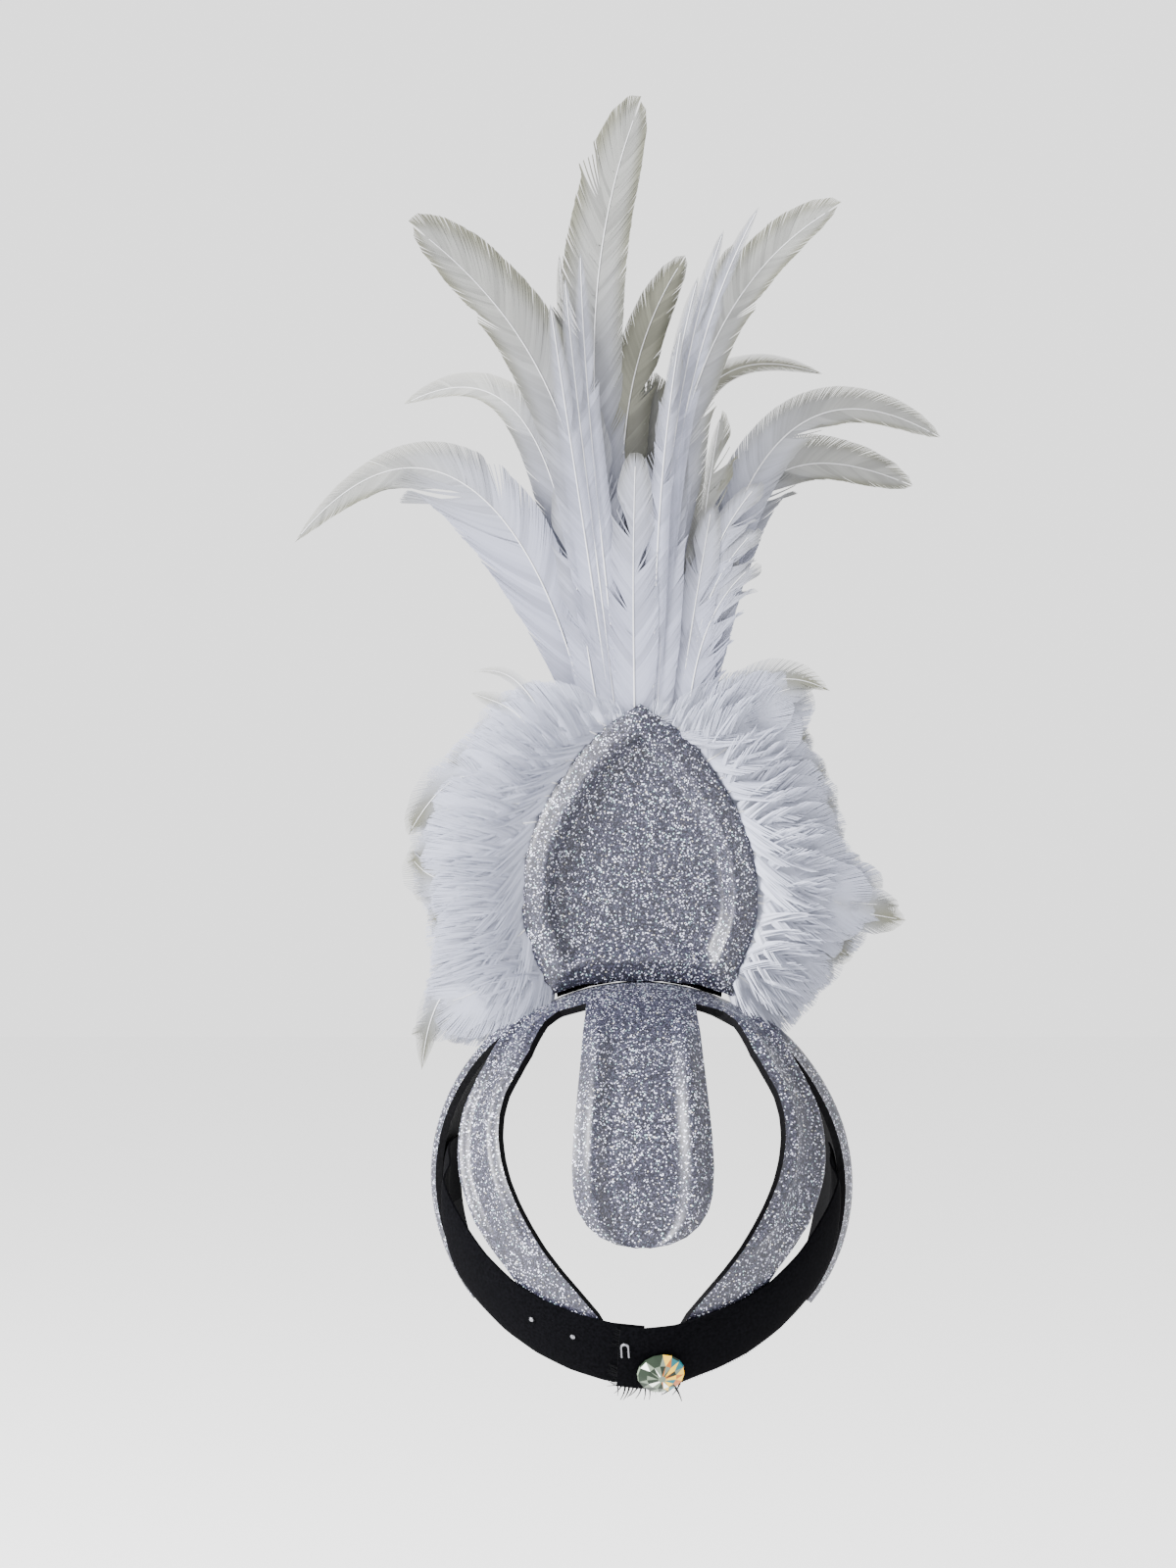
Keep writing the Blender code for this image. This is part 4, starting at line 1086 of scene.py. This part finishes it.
def make_ruff(hand, side):
    """Short soft feathers in overlapping rows, fanned from behind the plate's edge."""
    locks = RUFF_LOCKS[hand]
    chance = random.Random(RUFF_SEEDS[hand])
    inner = inset_outline(plate_outline(), RUFF_STRIP_INSET)
    edge = [(side * across, height) for across, height in inner[len(PLATE_FOOT):len(plate_side())]]
    foot = plate_foot()
    count = len(locks)
    tips = [Vector((side * out * RUFF_SPREAD, foot + rise * PLATE_HEIGHT)) for out, rise in locks]
    shafts = [claw_shaft(side, *claw) for claw in RUFF_CLAWS[hand]]
    for reach, feathers, wander, width, front, back in RUFF_ROWS:
        for index in range(count * feathers):
            stray = wander * chance.uniform(-RUFF_WANDER, RUFF_WANDER)
            at = (index + 0.5 + stray) / feathers - 0.5
            at = min(max(at, 0.0), count - 1.0)
            low = min(int(at), count - 2)
            tip = tips[low].lerp(tips[low + 1], at - low)
            root = along_line(edge, (at + 0.5) / count)
            turn = wander * chance.uniform(-RUFF_TURN, RUFF_TURN)
            inwards = ease((count - 1 - at) / RUFF_INNER_LOCKS)
            slim = risen(RUFF_INNER_WIDTH_SHARE, inwards)
            shorter = 1.0 - RUFF_REACH_CHANGE * wander * chance.random()
            to = (tip - root) * (reach * shorter * risen(RUFF_INNER_LENGTH_SHARE, inwards))
            to.rotate(Matrix.Rotation(turn, 2))
            hook = Vector((to.y, -to.x)) * chance.uniform(-RUFF_HOOK, RUFF_HOOK)
            lift = front + RUFF_LIFT_CHANGE * chance.random()
            shaft = []
            for step in range(RUFF_STEPS + 1):
                share = step / RUFF_STEPS
                here = root + to * share + hook * (4.0 * share * (1.0 - share))
                depth = back * share ** 2 - lift * ease(share / RUFF_LIFT_SHARE)
                shaft.append(ruff_spot(here, depth, share, width * slim, RUFF_COLOUR_FROM, reach))
            shafts.append(shaft)
    made = feathered("fluffy_ruff_" + hand, shafts, RUFF_VANE, QUILL, Seed=RUFF_SEEDS[hand],
                     **RUFF_INPUTS)
    return on_root(made, "feather", "ruff_" + hand)


# Strap

def strap_down(around):
    return between(STRAP_ROWS, abs(around))


def strap_out(around, lap):
    """How far off the head the strap lies: over the arms and the lap, inside the bands."""
    rise = ease((LAP_FROM_DEGREES - around) / LAP_RUN_DEGREES) if lap else 0.0
    outside = FOAM + STRAP_SEAT + (STRAP_THICKNESS + CLEARANCE) * rise
    inside = -STRAP_THICKNESS - STRAP_SEAT
    dive = ease((abs(around) - DIVE_FROM_DEGREES) / DIVE_RUN_DEGREES)
    return outside + (inside - outside) * dive


def strap_spot(around, share):
    """Angles of a place on the strap; share is 1 at its upper edge and -1 at its lower one."""
    step = 1.0
    down = strap_down(around)
    run = strap_down(around + step) - strap_down(around - step)
    per_round = (head_form(around + step, down) - head_form(around - step, down)).length / 2
    per_down = (head_form(around, down + step) - head_form(around, down - step)).length / 2
    along = Vector((2.0 * step * per_round, run * per_down)).normalized()
    half = STRAP_WIDTH / 2.0 * share
    return around + along.y * half / per_round, down - along.x * half / per_down


def make_strap(name, node, start, end, lap):
    front, back, faces = [], [], []
    for index in range(STRAP_STEPS + 1):
        around = start + (end - start) * index / STRAP_STEPS
        for line in range(STRAP_LINES + 1):
            share = 1.0 - 2.0 * line / STRAP_LINES
            turn, down = strap_spot(around, share)
            out = strap_out(turn, lap)
            full = STRAP_THICKNESS * risen(STRAP_EDGE_SHARE, 1.0 - abs(share) ** STRAP_EDGE_POWER)
            front.append(on_head(turn, down, out + full))
            back.append(on_head(turn, down, out))
    lines = STRAP_LINES + 1
    for index in range(STRAP_STEPS):
        for column in range(STRAP_LINES):
            low, high = index * lines + column, (index + 1) * lines + column
            faces.append([low, low + 1, high + 1, high])
    faces = facing_out(front, faces, Vector(STRAP_MIDDLE))
    made = on_root(thick_sheet(name, front, back, faces, (VELVET,)), "velvet", node)
    return made


def seat_on_strap(around, drop, out):
    down = strap_down(around) + math.degrees(drop / HEAD_DROP)
    return on_head(around, down, out), head_normal(around, down)


def make_threads(name, start, end, from_share, to_share, reach, inputs):
    """Loose threads along an edge of the strap, from one place on it to another."""
    line = []
    for step in range(THREAD_STEPS + 1):
        share = step / THREAD_STEPS
        around = start + (end - start) * share
        turn, down = strap_spot(around, from_share + (to_share - from_share) * share)
        out = strap_out(turn, True) + STRAP_THICKNESS / 2.0
        line.append((on_head(turn, down, out), reach, 0.0, 0.0, 0.0, THREAD_RADIUS, share))
    made = feathered(name, [line], THREAD, THREAD, **inputs)
    return on_root(made, "velvet")


# Closure

def make_crystal():
    """A round stone: a girdle, a ring of kites and a ring of triangles round a small table."""
    out = strap_out(BUTTON_DEGREES, True) + STRAP_THICKNESS + CLEARANCE
    place, normal = seat_on_strap(BUTTON_DEGREES, BUTTON_DROP, out)
    across = normal.cross(Vector((0.0, 0.0, 1.0))).normalized()
    upright = across.cross(normal).normalized()
    points, faces = [], []
    for wide, up, twist in BUTTON_SECTIONS:
        for index in range(BUTTON_SIDES):
            angle = 2.0 * math.pi * (index + twist) / BUTTON_SIDES
            spoke = -across * math.cos(angle) + upright * math.sin(angle)
            points.append(place + spoke * (BUTTON_RADIUS * wide) + normal * (BUTTON_HEIGHT * up))
    for level in range(len(BUTTON_SECTIONS) - 1):
        low, high = level * BUTTON_SIDES, (level + 1) * BUTTON_SIDES
        turned = BUTTON_SECTIONS[level + 1][2] - BUTTON_SECTIONS[level][2]
        for index in range(BUTTON_SIDES):
            after = (index + 1) % BUTTON_SIDES
            face = [low + index, low + after, high + after, high + index]
            if turned > 0.0:
                faces += [face[:2] + face[3:], face[1:]]
            elif turned < 0.0:
                faces += [face[:1] + face[2:], face[:3]]
            else:
                faces.append(face)
    faces.append(list(range(BUTTON_SIDES)))
    faces.append([len(points) - 1 - index for index in range(BUTTON_SIDES)])
    faces = facing_out(points, faces, place + normal * (BUTTON_HEIGHT * BUTTON_MIDDLE_SHARE))
    made = new_object("crystal", points, faces, CRYSTAL_TINTS_AND_REFLECTIONS, smooth=False)
    # Painted light and shade: faces on the right take the lit tones, faces on the left the shaded
    # ones
    chance = random.Random(CRYSTAL_SEED)
    for face in made.data.polygons:
        right = (Vector(face.center) - place).dot(-across) / BUTTON_RADIUS
        lit = right + chance.uniform(-CRYSTAL_MIX, CRYSTAL_MIX)
        face.material_index = chance.choice(CRYSTAL_SHADED_SIDE if lit < CRYSTAL_SPLIT else CRYSTAL_LIT_SIDE)
    return on_root(made, "crystal", "crystal_button")


# Build

make_frame()
make_plate()
for number, row in enumerate(PLUMES):
    make_tall_feather(number, *row)
make_ruff("left", -1.0)
make_ruff("right", 1.0)
fixed = between(BAND_ROWS, strap_down(90.0)) + STRAP_ON_BAND_DEGREES
make_strap("velvet_left", "strap_left", -fixed - SWING_LEFT_DEGREES, LAP_LEFT_DEGREES, False)
make_strap("velvet_right", "strap_right", LAP_RIGHT_DEGREES, fixed + SWING_RIGHT_DEGREES, True)
for row in THREADS:
    make_threads(*row)
make_crystal()
for node, material in (("crest_backing", FOAM_BLACK), ("strap_hook", STEEL),
                       ("strap_eye_1", STEEL), ("strap_eye_2", STEEL)):
    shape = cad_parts[node].data
    shape.materials.clear()
    shape.materials.append(material)


# Studio

def make_studio():
    world = bpy.data.worlds.new("studio")
    world.use_nodes = True
    background = world.node_tree.nodes["Background"]
    background.inputs["Color"].default_value = (1.0, 1.0, 1.0, 1.0)
    background.inputs["Strength"].default_value = SKY_STRENGTH
    bpy.context.scene.world = world
    corners = [(across * FLOOR_HALF, depth * FLOOR_HALF, FLOOR_HEIGHT)
               for across, depth in ((-1, -1), (1, -1), (1, 1), (-1, 1))]
    new_object("floor", corners, [[0, 1, 2, 3]],
                        [plain_material("floor", (0.92, 0.92, 0.92), 0.9)])
    for name, place, power, size in LAMPS:
        light = bpy.data.lights.new(name, "AREA")
        light.energy = power
        light.size = size
        lamp = bpy.data.objects.new(name, light)
        lamp.location = place
        aim = Vector(LAMP_AIM) - Vector(place)
        lamp.rotation_euler = aim.to_track_quat("-Z", "Y").to_euler()
        bpy.context.scene.collection.objects.link(lamp)
    eye = bpy.data.cameras.new("camera")
    eye.sensor_fit = "VERTICAL"
    eye.sensor_height = CAMERA_SENSOR
    eye.lens = CAMERA_LENS
    camera = bpy.data.objects.new("camera", eye)
    camera.location = CAMERA_PLACE
    camera.rotation_euler = (math.pi / 2, 0.0, 0.0)
    bpy.context.scene.collection.objects.link(camera)
    bpy.context.scene.camera = camera


make_studio()
